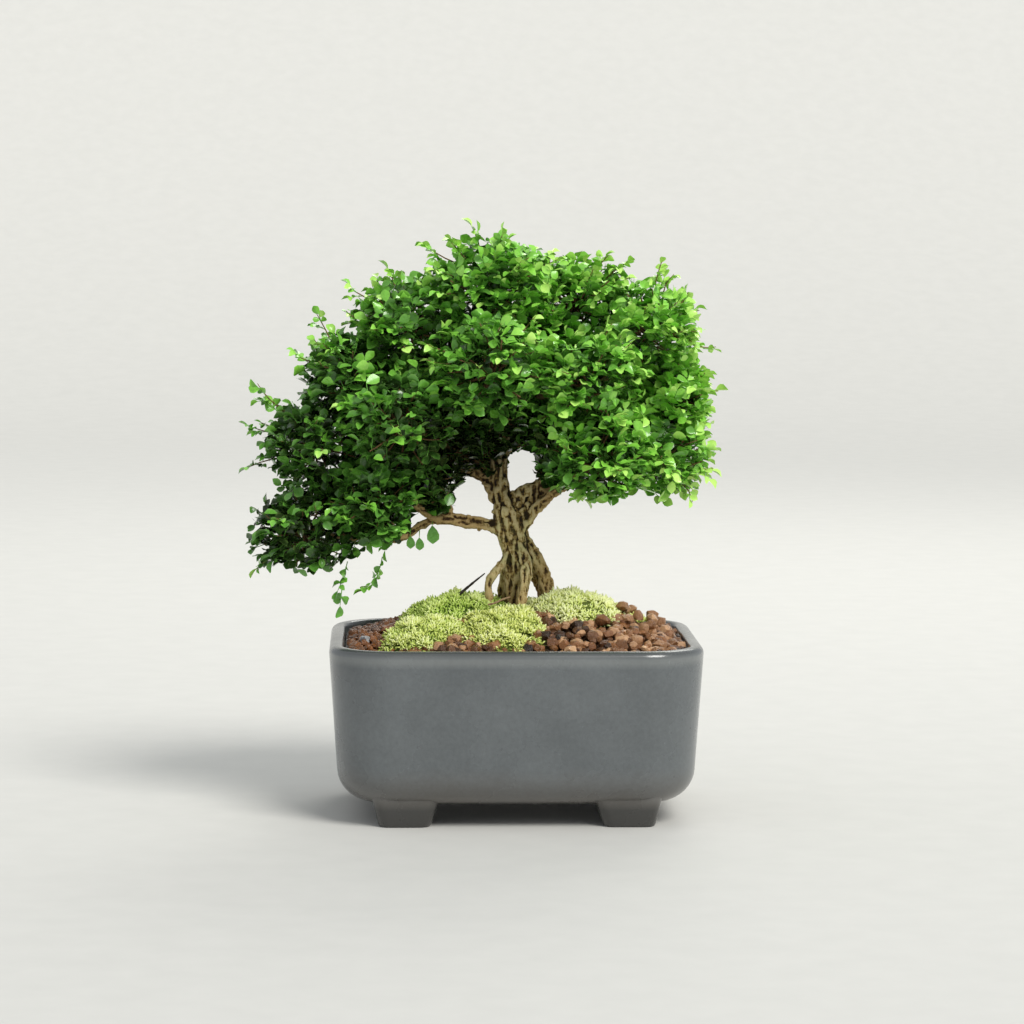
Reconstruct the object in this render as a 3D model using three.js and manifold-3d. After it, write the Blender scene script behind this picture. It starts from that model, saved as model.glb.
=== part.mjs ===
// A dwarf orange jasmine bonsai in a glazed stoneware pot, modelled at its real size in millimetres, +Z up.
// The tree stands on exposed roots in a mound of grit, with cushions of moss round its foot.
// Its branches each carry one pad of foliage: a dense inner bush with leaves standing out of it.
// The model is laid out from the middle of the pot's footprint, and moved at the end so that its frame's
// origin lies under the middle of the whole tree, on the surface that the pot stands on.
import * as THREE from "three";
import { mergeVertices } from "three/addons/utils/BufferGeometryUtils.js";
import Module from "manifold-3d";

const wasm = await Module();
wasm.setup();

// Driving dimensions
const POT_WIDTH = 204;
const POT_DEPTH = 165;
const POT_HEIGHT = 97;
const POT_CORNER = 36;
const FOOT_HEIGHT = 12;
const BASE_THICKNESS = 7;
const WALL_THICKNESS = 8;
const WALL_TAPER = 4.3;
const FIT_GAP = 0.35;

// Shared helpers
const v3 = (x, y, z) => new THREE.Vector3(x, y, z);

function seededRandom(seed) {
  let state = seed;
  return () => {
    state = (state + 0x6d2b79f5) | 0;
    let t = Math.imul(state ^ (state >>> 15), 1 | state);
    t = (t + Math.imul(t ^ (t >>> 7), 61 | t)) ^ t;
    return ((t ^ (t >>> 14)) >>> 0) / 4294967296;
  };
}

function solidFrom(points, faces) {
  return new wasm.Manifold(
    new wasm.Mesh({
      numProp: 3,
      vertProperties: new Float32Array(points.flatMap((p) => [p.x, p.y, p.z])),
      triVerts: new Uint32Array(faces),
    }),
  );
}

function solidFromGeometry(geometry) {
  geometry.deleteAttribute("normal");
  geometry.deleteAttribute("uv");
  const merged = mergeVertices(geometry, 1e-4);
  return new wasm.Manifold(
    new wasm.Mesh({
      numProp: 3,
      vertProperties: merged.attributes.position.array,
      triVerts: new Uint32Array(merged.index.array),
    }),
  );
}

// The geometry of a solid's largest piece, so that a scrap that a cut leaves loose is dropped.
function geometryOf(solid) {
  const bodies = solid.decompose();
  bodies.sort((a, b) => b.volume() - a.volume());
  const mesh = bodies[0].getMesh();
  const geometry = new THREE.BufferGeometry();
  geometry.setAttribute("position", new THREE.BufferAttribute(mesh.vertProperties, 3));
  geometry.setIndex(new THREE.BufferAttribute(mesh.triVerts, 1));
  geometry.computeVertexNormals();
  return geometry;
}

const union = (solids) => solids.reduce((whole, piece) => whole.add(piece));

// A closed skin over rings of equal length, with a pole at each end. Each ring runs counter-clockwise about
// the way from the start pole to the end pole.
function skin(rings, startPole, endPole) {
  const count = rings[0].length;
  const points = [startPole, ...rings.flat(), endPole];
  const at = (ring, k) => 1 + ring * count + (k % count);
  const last = points.length - 1;
  const faces = [];
  for (let k = 0; k < count; k++) {
    faces.push(0, at(0, k + 1), at(0, k));
    for (let ring = 0; ring < rings.length - 1; ring++) {
      faces.push(at(ring, k), at(ring, k + 1), at(ring + 1, k + 1));
      faces.push(at(ring, k), at(ring + 1, k + 1), at(ring + 1, k));
    }
    faces.push(last, at(rings.length - 1, k), at(rings.length - 1, k + 1));
  }
  return solidFrom(points, faces);
}

// A rounded rectangle at height z, centred on (x, y), as a ring of points. Each corner has so many segments,
// and each straight side so many steps.
function roundedRing(halfX, halfY, radius, z, segments, x = 0, y = 0, sideSteps = 1) {
  const ring = [];
  const corners = [[1, 1], [-1, 1], [-1, -1], [1, -1]];
  const cornerPoint = (quarter, k) => {
    const [sideX, sideY] = corners[quarter % 4];
    const angle = (quarter + k / segments) * (Math.PI / 2);
    const middle = v3(x + sideX * (halfX - radius), y + sideY * (halfY - radius), z);
    return middle.add(v3(radius * Math.cos(angle), radius * Math.sin(angle), 0));
  };
  for (let quarter = 0; quarter < 4; quarter++) {
    for (let k = 0; k <= segments; k++) ring.push(cornerPoint(quarter, k));
    const next = cornerPoint(quarter + 1, 0);
    for (let k = 1; k < sideSteps; k++) ring.push(cornerPoint(quarter, segments).lerp(next, k / sideSteps));
  }
  return ring;
}

// Points of a quarter arc in the pot's profile, given as [inset from the rim's outline, height].
function profileArc(inset, z, radius, fromAngle, toAngle, steps) {
  return Array.from({ length: steps + 1 }, (_, k) => {
    const angle = THREE.MathUtils.degToRad(fromAngle + ((toAngle - fromAngle) * k) / steps);
    return [inset - radius * Math.cos(angle), z + radius * Math.sin(angle)];
  });
}

// Pot: one fired piece with a rounded lip, tapering walls, four feet and two drain holes
const POT_SEGMENTS = 5;
const BOTTOM_FILLET = 20;
const LIP_RADIUS = 4.5;
const INNER_LIP_RADIUS = 2;
const INNER_FILLET = 12;
const INNER_TAPER = 3;
const FLOOR_Z = FOOT_HEIGHT + BASE_THICKNESS;
const DRAIN_X = 45;
const DRAIN_RADIUS = 11;
const DRAIN_SIDES = 20;
const FOOT_CENTRE = [60, 55];
const FOOT_TOP = [18, 15];
const FOOT_BOTTOM = [14.5, 12];
const FOOT_SINK = 11;
const FOOT_CORNER = 5.5;
const FOOT_EDGE = 1;

function potRing([inset, z], sideSteps = 1) {
  const radius = Math.max(POT_CORNER - inset, 4);
  return roundedRing(POT_WIDTH / 2 - inset, POT_DEPTH / 2 - inset, radius, z, POT_SEGMENTS, 0, 0, sideSteps);
}

const outerProfile = [
  ...profileArc(WALL_TAPER + BOTTOM_FILLET, FOOT_HEIGHT + BOTTOM_FILLET, BOTTOM_FILLET, -90, 0, 5),
  [WALL_TAPER * 0.42, POT_HEIGHT * 0.66],
  ...profileArc(LIP_RADIUS, POT_HEIGHT - LIP_RADIUS, LIP_RADIUS, 0, 90, 3),
];
const innerProfile = [
  [WALL_THICKNESS + INNER_TAPER * 0.1, POT_HEIGHT - INNER_LIP_RADIUS],
  [WALL_THICKNESS + INNER_TAPER, FLOOR_Z + INNER_FILLET],
  [WALL_THICKNESS + INNER_TAPER + INNER_FILLET * 0.3, FLOOR_Z + INNER_FILLET * 0.3],
  [WALL_THICKNESS + INNER_TAPER + INNER_FILLET, FLOOR_Z],
];

// A foot tapers to its flat underside, and its top is sunk into the curve of the pot's bottom edge.
function makeFoot(sideX, sideY) {
  const x = sideX * FOOT_CENTRE[0];
  const y = sideY * FOOT_CENTRE[1];
  const ring = ([halfX, halfY], z, corner) => roundedRing(halfX, halfY, corner, z, 2, x, y);
  const rings = [
    ring(FOOT_BOTTOM.map((half) => half - FOOT_EDGE), 0, FOOT_CORNER - 2 * FOOT_EDGE),
    ring(FOOT_BOTTOM, FOOT_EDGE, FOOT_CORNER - FOOT_EDGE),
    ring(FOOT_TOP, FOOT_HEIGHT + FOOT_EDGE, FOOT_CORNER),
    ring(FOOT_TOP, FOOT_HEIGHT + FOOT_SINK, FOOT_CORNER),
  ];
  return skin(rings, v3(x, y, 0), v3(x, y, FOOT_HEIGHT + FOOT_SINK));
}

function makePot() {
  const lip = [[WALL_THICKNESS - INNER_LIP_RADIUS, POT_HEIGHT]];
  const profile = [...outerProfile, ...lip, ...innerProfile];
  const body = skin(profile.map((p) => potRing(p)), v3(0, 0, FOOT_HEIGHT), v3(0, 0, FLOOR_Z));
  const feet = [[-1, -1], [1, -1], [-1, 1], [1, 1]].map(([sideX, sideY]) => makeFoot(sideX, sideY));
  const drains = [-1, 1].map((side) =>
    cylinder(side * DRAIN_X, 0, FOOT_HEIGHT - 1, FLOOR_Z + 1, DRAIN_RADIUS, DRAIN_SIDES));
  return union([body, ...feet]).subtract(union(drains)).subtract(filling(0));
}

function cylinder(x, y, zLow, zHigh, radius, sides) {
  const geometry = new THREE.CylinderGeometry(radius, radius, zHigh - zLow, sides);
  geometry.rotateX(Math.PI / 2).translate(x, y, (zLow + zHigh) / 2);
  return solidFromGeometry(geometry);
}

// What fills the pot's inside up to SOIL_EDGE_Z, drawn in by a gap all round.
const SOIL_EDGE_Z = 92;
const SOIL_EDGE_INSET = WALL_THICKNESS + INNER_TAPER * 0.2;
function filling(gap, sideSteps = 1, topRings = [], topPole = v3(0, 0, SOIL_EDGE_Z)) {
  const [, lower, fillet, floor] = innerProfile;
  const profile = [
    [floor[0] + gap, floor[1] + gap],
    [fillet[0] + gap, fillet[1] + gap],
    [lower[0] + gap, lower[1] + gap],
    [SOIL_EDGE_INSET + gap, SOIL_EDGE_Z],
  ];
  const sides = profile.map((p) => potRing(p, sideSteps));
  return skin([...sides, ...topRings], v3(0, 0, FLOOR_Z + gap), topPole);
}

// Drain screens: plastic mesh squares that keep the grit from falling through the drain holes
const SCREEN_SIDE = 30;
const SCREEN_THICKNESS = 1.2;
const SCREEN_Z = FLOOR_Z + FIT_GAP;
const SCREEN_CELLS = 3;
const SCREEN_HOLE = 3.6;

function block(x, y, z, sizeX, sizeY, sizeZ) {
  return solidFromGeometry(new THREE.BoxGeometry(sizeX, sizeY, sizeZ).translate(x, y, z));
}

function makeScreen(side) {
  const middleZ = SCREEN_Z + SCREEN_THICKNESS / 2;
  const sheet = block(side * DRAIN_X, 0, middleZ, SCREEN_SIDE, SCREEN_SIDE, SCREEN_THICKNESS);
  const pitch = SCREEN_SIDE / (SCREEN_CELLS + 1);
  const cells = [];
  for (let row = 0; row < SCREEN_CELLS; row++) {
    for (let column = 0; column < SCREEN_CELLS; column++) {
      const x = side * DRAIN_X + (column - (SCREEN_CELLS - 1) / 2) * pitch;
      const y = (row - (SCREEN_CELLS - 1) / 2) * pitch;
      cells.push(block(x, y, middleZ, SCREEN_HOLE, SCREEN_HOLE, 2 * SCREEN_THICKNESS));
    }
  }
  return sheet.subtract(union(cells));
}

// The room that the grit leaves for a screen
function screenPocket(side) {
  const size = SCREEN_SIDE + 2 * FIT_GAP;
  const top = SCREEN_Z + SCREEN_THICKNESS + FIT_GAP;
  return block(side * DRAIN_X, 0, (FLOOR_Z + top) / 2, size, size, top - FLOOR_Z);
}

// The mound that the grit makes: low at the pot's wall, high round the tree's foot, and higher to the right.
const SOIL_HALF = [POT_WIDTH / 2 - SOIL_EDGE_INSET, POT_DEPTH / 2 - SOIL_EDGE_INSET];
const MOUND_RISE = 17;
const MOUND_SLANT = 0.04;
function soilHeight(x, y) {
  const reach = Math.cbrt(Math.abs(x / SOIL_HALF[0]) ** 3 + Math.abs(y / SOIL_HALF[1]) ** 3);
  return SOIL_EDGE_Z + (MOUND_RISE + MOUND_SLANT * x) * (1 - Math.min(reach, 1) ** 2.4);
}

// Its top is crumbled by grit: each point is raised or sunk at random, always in the same way.
const SOIL_SIDE_STEPS = 7;
const SOIL_RING_COUNT = 8;
const GRIT_RELIEF = 2.1;

function soilMound(lift) {
  const random = seededRandom(29);
  const edge = potRing([SOIL_EDGE_INSET + FIT_GAP, SOIL_EDGE_Z], SOIL_SIDE_STEPS);
  const rings = Array.from({ length: SOIL_RING_COUNT }, (_, ring) => edge.map((p, k) => {
    const share = 1 - (ring + 0.6 + 0.4 * (random() - 0.5)) / (SOIL_RING_COUNT + 0.6);
    const x = p.x * share;
    const y = p.y * share;
    const crumble = GRIT_RELIEF * ((k + ring) % 2 ? 1 : -1) * random();
    return v3(x, y, soilHeight(x, y) + crumble + lift);
  }));
  return filling(FIT_GAP, SOIL_SIDE_STEPS, rings, v3(0, 0, soilHeight(0, 0) + lift));
}

// A round limb through points [x, y, z, radius], swollen by grow, with domed ends.
function limb(stations, sides, grow = 0) {
  const curve = new THREE.CatmullRomCurve3(stations.map(([x, y, z]) => v3(x, y, z)));
  const steps = stations.length - 1;
  const { normals } = curve.computeFrenetFrames(steps);
  const radii = stations.map((station) => station[3] + grow);
  const tangentAt = (k) => curve.getTangent(k / steps).normalize();
  const rings = stations.map((station, k) => {
    const middle = curve.getPoint(k / steps);
    const tangent = tangentAt(k);
    const normal = normals[k].clone().addScaledVector(tangent, -normals[k].dot(tangent)).normalize();
    const binormal = tangent.clone().cross(normal);
    return Array.from({ length: sides }, (_, side) => {
      const angle = (2 * Math.PI * side) / sides;
      return middle.clone().addScaledVector(normal, radii[k] * Math.cos(angle))
        .addScaledVector(binormal, radii[k] * Math.sin(angle));
    });
  });
  const pole = (k, way) => curve.getPoint(k / steps).addScaledVector(tangentAt(k), way * radii[k] * 0.5);
  return skin(rings, pole(0, -1), pole(steps, 1));
}

// Tree: trunk, exposed roots and branches grown as one piece, as [x, y, z, radius] along each limb
const TRUNK = [
  [-4, 1, 92, 6.2], [-4, 1, 108, 6.2], [-3.6, 1, 120, 5.9], [-2.5, 0, 131, 6.3], [-1.5, 0, 141, 7.1],
  [-1.6, 0, 149, 7.6], [-2.6, 0, 157, 7.9], [-3.9, 0, 165, 6.7], [-5.8, 0, 173, 5.4], [-7.8, 1, 182, 4.7],
  [-8.5, 2, 191, 4.5], [-7.6, 3, 201, 4.3], [-6.7, 4, 213, 4], [-6.5, 4, 226, 3.6], [-5.6, 4, 240, 3.2],
  [-7, 3, 255, 2.7], [-10, 1, 269, 2.2], [-12, 0, 281, 1.7],
];
const ROOTS = [
  [
    [-2, -1, 141, 3.2], [-6.4, -3, 134, 2.9], [-10, -4.5, 127.6, 2.5], [-12.9, -5.5, 120, 2.3],
    [-13.6, -6, 113, 2.4], [-15.5, -7.5, 104, 2.1], [-19, -9, 95, 1.5],
  ],
  [
    [2.5, -2, 147, 3.4], [4.6, -5, 138.5, 3.2], [6.4, -7.5, 131, 3], [7.1, -9.5, 123.5, 2.9],
    [5.2, -11, 116, 2.9], [3.5, -13, 107, 2.5], [1.5, -16, 96, 1.8],
  ],
  [
    [2.5, 0, 153, 3.8], [7.4, -1, 143.5, 3.5], [12, -1, 135, 3.3], [15.8, 0, 126, 3.1],
    [18.2, 1, 117, 3], [20.6, 2.5, 107, 2.6], [24, 4, 97, 1.8],
  ],
  [
    [-3, 3, 145, 3.2], [-6.5, 7, 135, 3], [-9.5, 10.5, 125, 2.8], [-11.5, 13, 115, 2.7],
    [-14, 16, 105, 2.2], [-18, 19, 97, 1.5],
  ],
  [
    [1, 3, 148, 3.4], [5, 7, 137, 3.1], [8.5, 10, 127, 2.9], [10.5, 12.5, 117, 2.8], [13, 16, 106, 2.4],
    [17, 20, 97, 1.6],
  ],
];
const BRANCHES = [
  // The low left limb, which forks in view
  [
    [-3, 0, 151, 4.4], [-10.4, -1, 153, 3.5], [-16.6, -2, 155.2, 3.1], [-24.3, -3, 156.7, 3],
    [-32, -3.5, 157.1, 2.9], [-41.2, -4, 159.1, 2.7],
  ],
  [
    [-36, -4, 158, 2.5], [-41.2, -4, 159.1, 2.4], [-48.2, -6.5, 161.5, 2.1], [-53.6, -10, 166, 1.8],
    [-58.5, -13, 170, 1.6], [-68, -18, 171, 1.4],
  ],
  [
    [-36, -4, 158, 2.4], [-41.2, -4, 159.1, 2.4], [-46, -4, 156.6, 2.1], [-51, -4, 154.6, 1.9],
    [-60.5, -5, 149, 1.8], [-74, -6, 147, 1.7], [-88, -6, 149.5, 1.5], [-102, -6, 153, 1.3],
  ],
  // Middle left, to the left edge, the left front and the left back
  [
    [-8, 2, 187, 3.4], [-20, 4, 193, 2.8], [-38, 5, 197, 2.3], [-60, 5, 200, 2], [-84, 4, 203, 1.7],
    [-97, 4, 204, 1.4],
  ],
  [
    [-24, 4, 194, 2.2], [-40, -8, 203, 1.8], [-50, -22, 210, 1.6], [-57, -32, 214, 1.4],
  ],
  [
    [-20, 4, 193, 2.2], [-36, 18, 203, 1.8], [-48, 30, 212, 1.6], [-55, 39, 217, 1.4],
  ],
  // Upper left, to the left shoulder
  [
    [-7, 4, 207, 3.2], [-24, 3, 217, 2.5], [-44, 0, 226, 2.1], [-64, -3, 234, 1.8], [-81, -4, 240, 1.4],
  ],
  [
    [-20, 3, 215, 2.2], [-31, 3, 231, 1.9], [-43, 2, 248, 1.6], [-52, 2, 260, 1.4],
  ],
  // The pair of right limbs that leave the trunk in a fork
  [
    [0, -1, 156, 4], [7.3, -3, 166, 3], [13.5, -5, 170.8, 2.7], [19, -8, 174.6, 2.4], [27, -16, 181, 2],
    [34, -26, 188, 1.7], [40, -35, 192, 1.4],
  ],
  [
    [-3, 0, 167, 3.4], [5, 0, 176, 2.7], [13.5, 0, 184.5, 2.4], [30, -1, 188, 2.1], [50, -3, 191, 1.8],
    [77, -7, 194, 1.3],
  ],
  [
    [26, -1, 187, 1.9], [44, 4, 200, 1.8], [60, 8, 214, 1.6], [83, 10, 228, 1.3],
  ],
  [
    [-7, 4, 194, 2.8], [6, 16, 204, 2.2], [22, 30, 214, 1.8], [42, 44, 224, 1.4],
  ],
  // Upper right, to the right shoulder and the front
  [
    [-6.5, 4, 217, 3], [10, 4, 228, 2.5], [28, 2, 240, 2.1], [46, 0, 251, 1.8], [69, -3, 265, 1.4],
  ],
  [
    [8, 4, 227, 2.2], [20, -12, 232, 1.9], [28, -26, 236, 1.6], [34, -37, 239, 1.4],
  ],
  [
    [-5.7, 4, 239, 2.5], [6, 8, 254, 2], [18, 12, 268, 1.6], [27, 13, 277, 1.4],
  ],
  // Front and back of the crown
  [
    [-6.5, 4, 225, 2.4], [-8, -12, 233, 2], [-11, -28, 240, 1.6], [-13, -43, 245, 1.4],
  ],
  [
    [-6.5, 4, 229, 2.4], [-8, 18, 238, 2], [-9, 32, 245, 1.6], [-10, 44, 249, 1.4],
  ],
];

function makeTree(grow) {
  const roots = ROOTS.map((root) => limb(root, 7, grow));
  const branches = BRANCHES.map((branch) => limb(branch, 5, grow));
  return union([limb(TRUNK, 10, grow), ...roots, ...branches]);
}

// A dry twig that has dropped and stands slantwise in the moss
const TWIG = [[-37, -1, 111, 1], [-32, -2, 116.5, 0.95], [-26, -2.5, 121.5, 0.9], [-17.6, -3, 128.3, 0.55]];
const TWIG_SIDES = 6;

// Moss: cushions laid on the grit, each [name, x, y, half width, half depth, height, seed]
const MOSS = [
  ["moss_centre", -6, -39, 21, 30, 6.5, 11],
  ["moss_right", 34, -8, 25, 25, 9.5, 12],
  ["moss_left_back", -37, 3, 27, 22, 8.5, 13],
  ["moss_left_front", -49, -44, 22, 20, 7, 14],
  ["moss_right_small", 70, -4, 9, 10, 5.5, 15],
  ["moss_back", -2, 40, 28, 21, 6.5, 16],
  ["moss_back_right", 48, 38, 17, 14, 5, 17],
];
const MOSS_SECTORS = 12;
const MOSS_RING_STEP = 5;
const MOSS_LIFT = 1;
const TUFT_HEIGHT = 2.2;
const MOSS_ROOT_Z = 84;

function mossCushion([, x, y, halfX, halfY, height, seed], grow) {
  const random = seededRandom(seed);
  const sway = [random() * 6, random() * 6];
  const ringCount = Math.max(3, Math.round(Math.max(halfX, halfY) / MOSS_RING_STEP));
  const outline = (angle) => 1 + 0.09 * Math.sin(3 * angle + sway[0]) + 0.06 * Math.sin(5 * angle + sway[1]);
  const place = (share, angle, z) => v3(
    x + (halfX + grow) * share * outline(angle) * Math.cos(angle),
    y + (halfY + grow) * share * outline(angle) * Math.sin(angle), z);
  const rings = [];
  const angleOf = (k) => (2 * Math.PI * k) / MOSS_SECTORS;
  rings.push(Array.from({ length: MOSS_SECTORS }, (_, k) => place(1, angleOf(k), MOSS_ROOT_Z)));
  for (let ring = 0; ring < ringCount; ring++) {
    const share = 1 - (ring / ringCount) ** 1.15;
    rings.push(Array.from({ length: MOSS_SECTORS }, (_, k) => {
      const p = place(share, angleOf(k + 0.5 * (ring % 2)), 0);
      const dome = height * (1 - share * share) ** 0.6;
      const tuft = TUFT_HEIGHT * ((k + ring) % 2 ? 1 : 0.1) * (0.6 + 0.8 * random());
      p.z = soilHeight(p.x, p.y) + MOSS_LIFT + dome + tuft + grow;
      return p;
    }));
  }
  const top = v3(x, y, soilHeight(x, y) + MOSS_LIFT + height + TUFT_HEIGHT + grow);
  return skin(rings, v3(x, y, MOSS_ROOT_Z), top);
}

// Foliage pads: [name, x, y, z, reach in x, reach in y, reach in z] to the leaf tips
const CANOPY_MIDDLE_Z = 205;
const PADS = [
  ["foliage_crown", -12, 0, 289, 40, 42, 31],
  ["foliage_crown_right", 34, 14, 281, 34, 38, 27],
  ["foliage_shoulder_right", 77, -4, 267, 34, 42, 32],
  ["foliage_right_tip", 92, 10, 230, 25, 42, 27],
  ["foliage_right_skirt", 86, -8, 195, 32, 42, 28],
  ["foliage_right_front", 44, -42, 197, 32, 30, 27],
  ["foliage_breast_right", 38, -48, 240, 35, 32, 30],
  ["foliage_breast_centre", -14, -54, 247, 34, 30, 32],
  ["foliage_shoulder_left", -58, 2, 270, 34, 42, 28],
  ["foliage_left_upper", -93, -4, 242, 31, 42, 28],
  ["foliage_left_mid", -112, 4, 203, 35, 44, 28],
  ["foliage_left_front", -62, -42, 217, 33, 34, 32],
  ["foliage_left_low", -115, -6, 156, 35, 38, 26],
  ["foliage_low_front", -77, -24, 170, 25, 32, 26],
  ["foliage_back_centre", -10, 54, 250, 40, 32, 34],
  ["foliage_back_right", 50, 52, 224, 38, 32, 34],
  ["foliage_back_left", -62, 50, 222, 38, 32, 34],
];
const CORE_SHARE = 0.74;
const CORE_GAP = 0.5;
const LEAVES_PER_PAD = 34;
const CORE_SEED = 100;
const LEAF_SEED = 300;

// The inner bush of a pad as corner points and faces: a lumpy ball, swollen by grow.
function coreMesh([, x, y, z, reachX, reachY, reachZ], seed, grow = 0) {
  const random = seededRandom(seed);
  const geometry = new THREE.IcosahedronGeometry(1, 1);
  geometry.deleteAttribute("normal");
  geometry.deleteAttribute("uv");
  const merged = mergeVertices(geometry, 1e-4);
  const position = merged.attributes.position;
  const points = Array.from({ length: position.count }, (_, k) => {
    const swell = CORE_SHARE * (0.87 + 0.24 * random());
    return v3(
      x + position.getX(k) * (swell * reachX + grow),
      y + position.getY(k) * (swell * reachY + grow),
      z + position.getZ(k) * (swell * reachZ + grow));
  });
  const index = merged.index.array;
  const faces = Array.from({ length: index.length / 3 }, (_, k) => [...index.slice(3 * k, 3 * k + 3)]);
  return { points, faces };
}

// A leaflet as a thin blade with a keel under it, larger than life: narrow at its root, broadest towards its
// blunt tip, and cupped. It runs from root along ahead with its face towards up.
const LEAF_LENGTH = 19;
const LEAF_WIDTH = 14.5;
const LEAF_BROADEST = 0.74;
const LEAF_DEEPEST = 0.6;
const LEAF_RIM = 0.25;
const LEAF_CUP = 0.7;
const LEAF_KEEL = 0.9;
const STALK_HALF = 1.3;

// The blade's sections at its stalk and its broadest part, each as [left, right, keel], and then its tip
function bladeSections(root, ahead, up, size, keel = LEAF_KEEL) {
  const across = ahead.clone().cross(up).normalize();
  const place = (along, aside, lift) => root.clone()
    .addScaledVector(ahead, along * LEAF_LENGTH * size)
    .addScaledVector(across, aside * size)
    .addScaledVector(up, lift);
  const section = (along, half, lift, keelAlong) =>
    [place(along, -half, lift), place(along, half, lift), place(keelAlong, 0, -keel)];
  return {
    stalk: section(0, STALK_HALF, LEAF_RIM, 0),
    broad: section(LEAF_BROADEST, LEAF_WIDTH / 2, LEAF_CUP, LEAF_DEEPEST),
    tip: place(1, 0, LEAF_RIM),
  };
}

// Joins two rings of three points each by a band of faces.
function band(faces, from, to) {
  for (let k = 0; k < 3; k++) {
    const next = (k + 1) % 3;
    faces.push(from[k], from[next], to[next], from[k], to[next], to[k]);
  }
}

// A blade by itself, thicker and broader than the real one, to test whether there is room for it.
const TEST_KEEL = 1.6;
const TEST_SPREAD = 1.06;
function testBlade(root, ahead, up, size) {
  const { stalk, broad, tip } = bladeSections(root, ahead, up, size * TEST_SPREAD, TEST_KEEL);
  const faces = [0, 2, 1];
  band(faces, [0, 1, 2], [3, 4, 5]);
  faces.push(3, 4, 6, 4, 5, 6, 5, 3, 6);
  return solidFrom([...stalk, ...broad, tip], faces);
}

const group = new THREE.Group();
const finishes = {
  glaze: { color: 0x6a7174, roughness: 0.32 },
  grit: { color: 0x6b4023, roughness: 0.85 },
  moss: { color: 0x9fb454, roughness: 0.95 },
  bark: { color: 0x8a7350, roughness: 0.9 },
  leaf: { color: 0x3f7a22, roughness: 0.4 },
  screen: { color: 0x1c1d1e, roughness: 0.6 },
};

function addNode(name, solid, finish) {
  const material = new THREE.MeshStandardMaterial({ ...finishes[finish], metalness: 0 });
  const mesh = new THREE.Mesh(geometryOf(solid), material);
  mesh.name = name;
  group.add(mesh);
}

const tree = makeTree(0);
const treeRoom = makeTree(FIT_GAP);
const twigRoom = limb(TWIG, TWIG_SIDES, FIT_GAP);
const screenRoom = union([-1, 1].map(screenPocket));

addNode("pot", makePot(), "glaze");
addNode("drain_screen_left", makeScreen(-1), "screen");
addNode("drain_screen_right", makeScreen(1), "screen");

const raisedSoil = soilMound(FIT_GAP);
let mossSoFar = treeRoom.add(twigRoom);
for (const cushion of MOSS) {
  addNode(cushion[0], mossCushion(cushion, 0).subtract(raisedSoil).subtract(mossSoFar), "moss");
  mossSoFar = mossSoFar.add(mossCushion(cushion, FIT_GAP));
}
addNode("grit", soilMound(0).subtract(treeRoom).subtract(screenRoom).subtract(twigRoom), "grit");
addNode("tree", tree, "bark");
addNode("dry_twig", limb(TWIG, TWIG_SIDES), "bark");

const solidOfCore = ({ points, faces }) => solidFrom(points, faces.flat());
const coreMeshes = PADS.map((pad, k) => coreMesh(pad, CORE_SEED + k));
const cores = coreMeshes.map(solidOfCore);

// Leaves are tried one by one, and one is kept only where it touches no other leaf, core or limb.
const TRIES_PER_LEAF = 6;
const OUTWARD_PART = 0.66;
const LEAN_PART = 0.75;
const keptLeaves = [];

function isClear(candidate, middle, ownPad) {
  const near = (other, reach) => middle.distanceTo(other) < reach;
  if (!candidate.intersect(tree).isEmpty()) return false;
  for (let k = 0; k < PADS.length; k++) {
    if (k === ownPad) continue;
    const [, x, y, z, ...reach] = PADS[k];
    const close = near(v3(x, y, z), LEAF_LENGTH + Math.max(...reach));
    if (close && !candidate.intersect(cores[k]).isEmpty()) return false;
  }
  return keptLeaves.every((leaf) =>
    !near(leaf.middle, 1.3 * LEAF_LENGTH) || candidate.intersect(leaf.solid).isEmpty());
}

// Whether a point lies deep inside another pad, where a leaf wouldn't be seen.
const isBuried = (p, ownPad) => PADS.some(([, x, y, z, reachX, reachY, reachZ], k) =>
  k !== ownPad && Math.hypot((p.x - x) / reachX, (p.y - y) / reachY, (p.z - z) / reachZ) < 0.8);

// Tries blades on one face of a core until one is clear, and gives its sections.
function growLeaf(corners, padIndex, random) {
  const root = corners[0].clone().add(corners[1]).add(corners[2]).divideScalar(3);
  const outward = corners[1].clone().sub(corners[0]).cross(corners[2].clone().sub(corners[0])).normalize();
  for (let attempt = 0; attempt < TRIES_PER_LEAF; attempt++) {
    const wander = v3(random() - 0.5, random() - 0.5, random() - 0.5).multiplyScalar(1.2 + 0.25 * attempt);
    const lean = v3(root.x, root.y, (root.z - CANOPY_MIDDLE_Z) * 0.8).normalize().add(wander);
    lean.addScaledVector(outward, -lean.dot(outward)).normalize();
    const ahead = outward.clone().multiplyScalar(OUTWARD_PART).addScaledVector(lean, LEAN_PART).normalize();
    const up = outward.clone().multiplyScalar(LEAN_PART).addScaledVector(lean, -OUTWARD_PART).normalize();
    const size = 0.85 + 0.25 * random();
    const middle = root.clone().addScaledVector(ahead, LEAF_LENGTH / 2);
    const foot = root.clone().addScaledVector(ahead, 1);
    const solid = testBlade(foot, ahead, up, size);
    if (isBuried(middle, padIndex) || !isClear(solid, middle, padIndex)) continue;
    keptLeaves.push({ middle, solid });
    return bladeSections(root, ahead, up, size);
  }
  return null;
}

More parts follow.
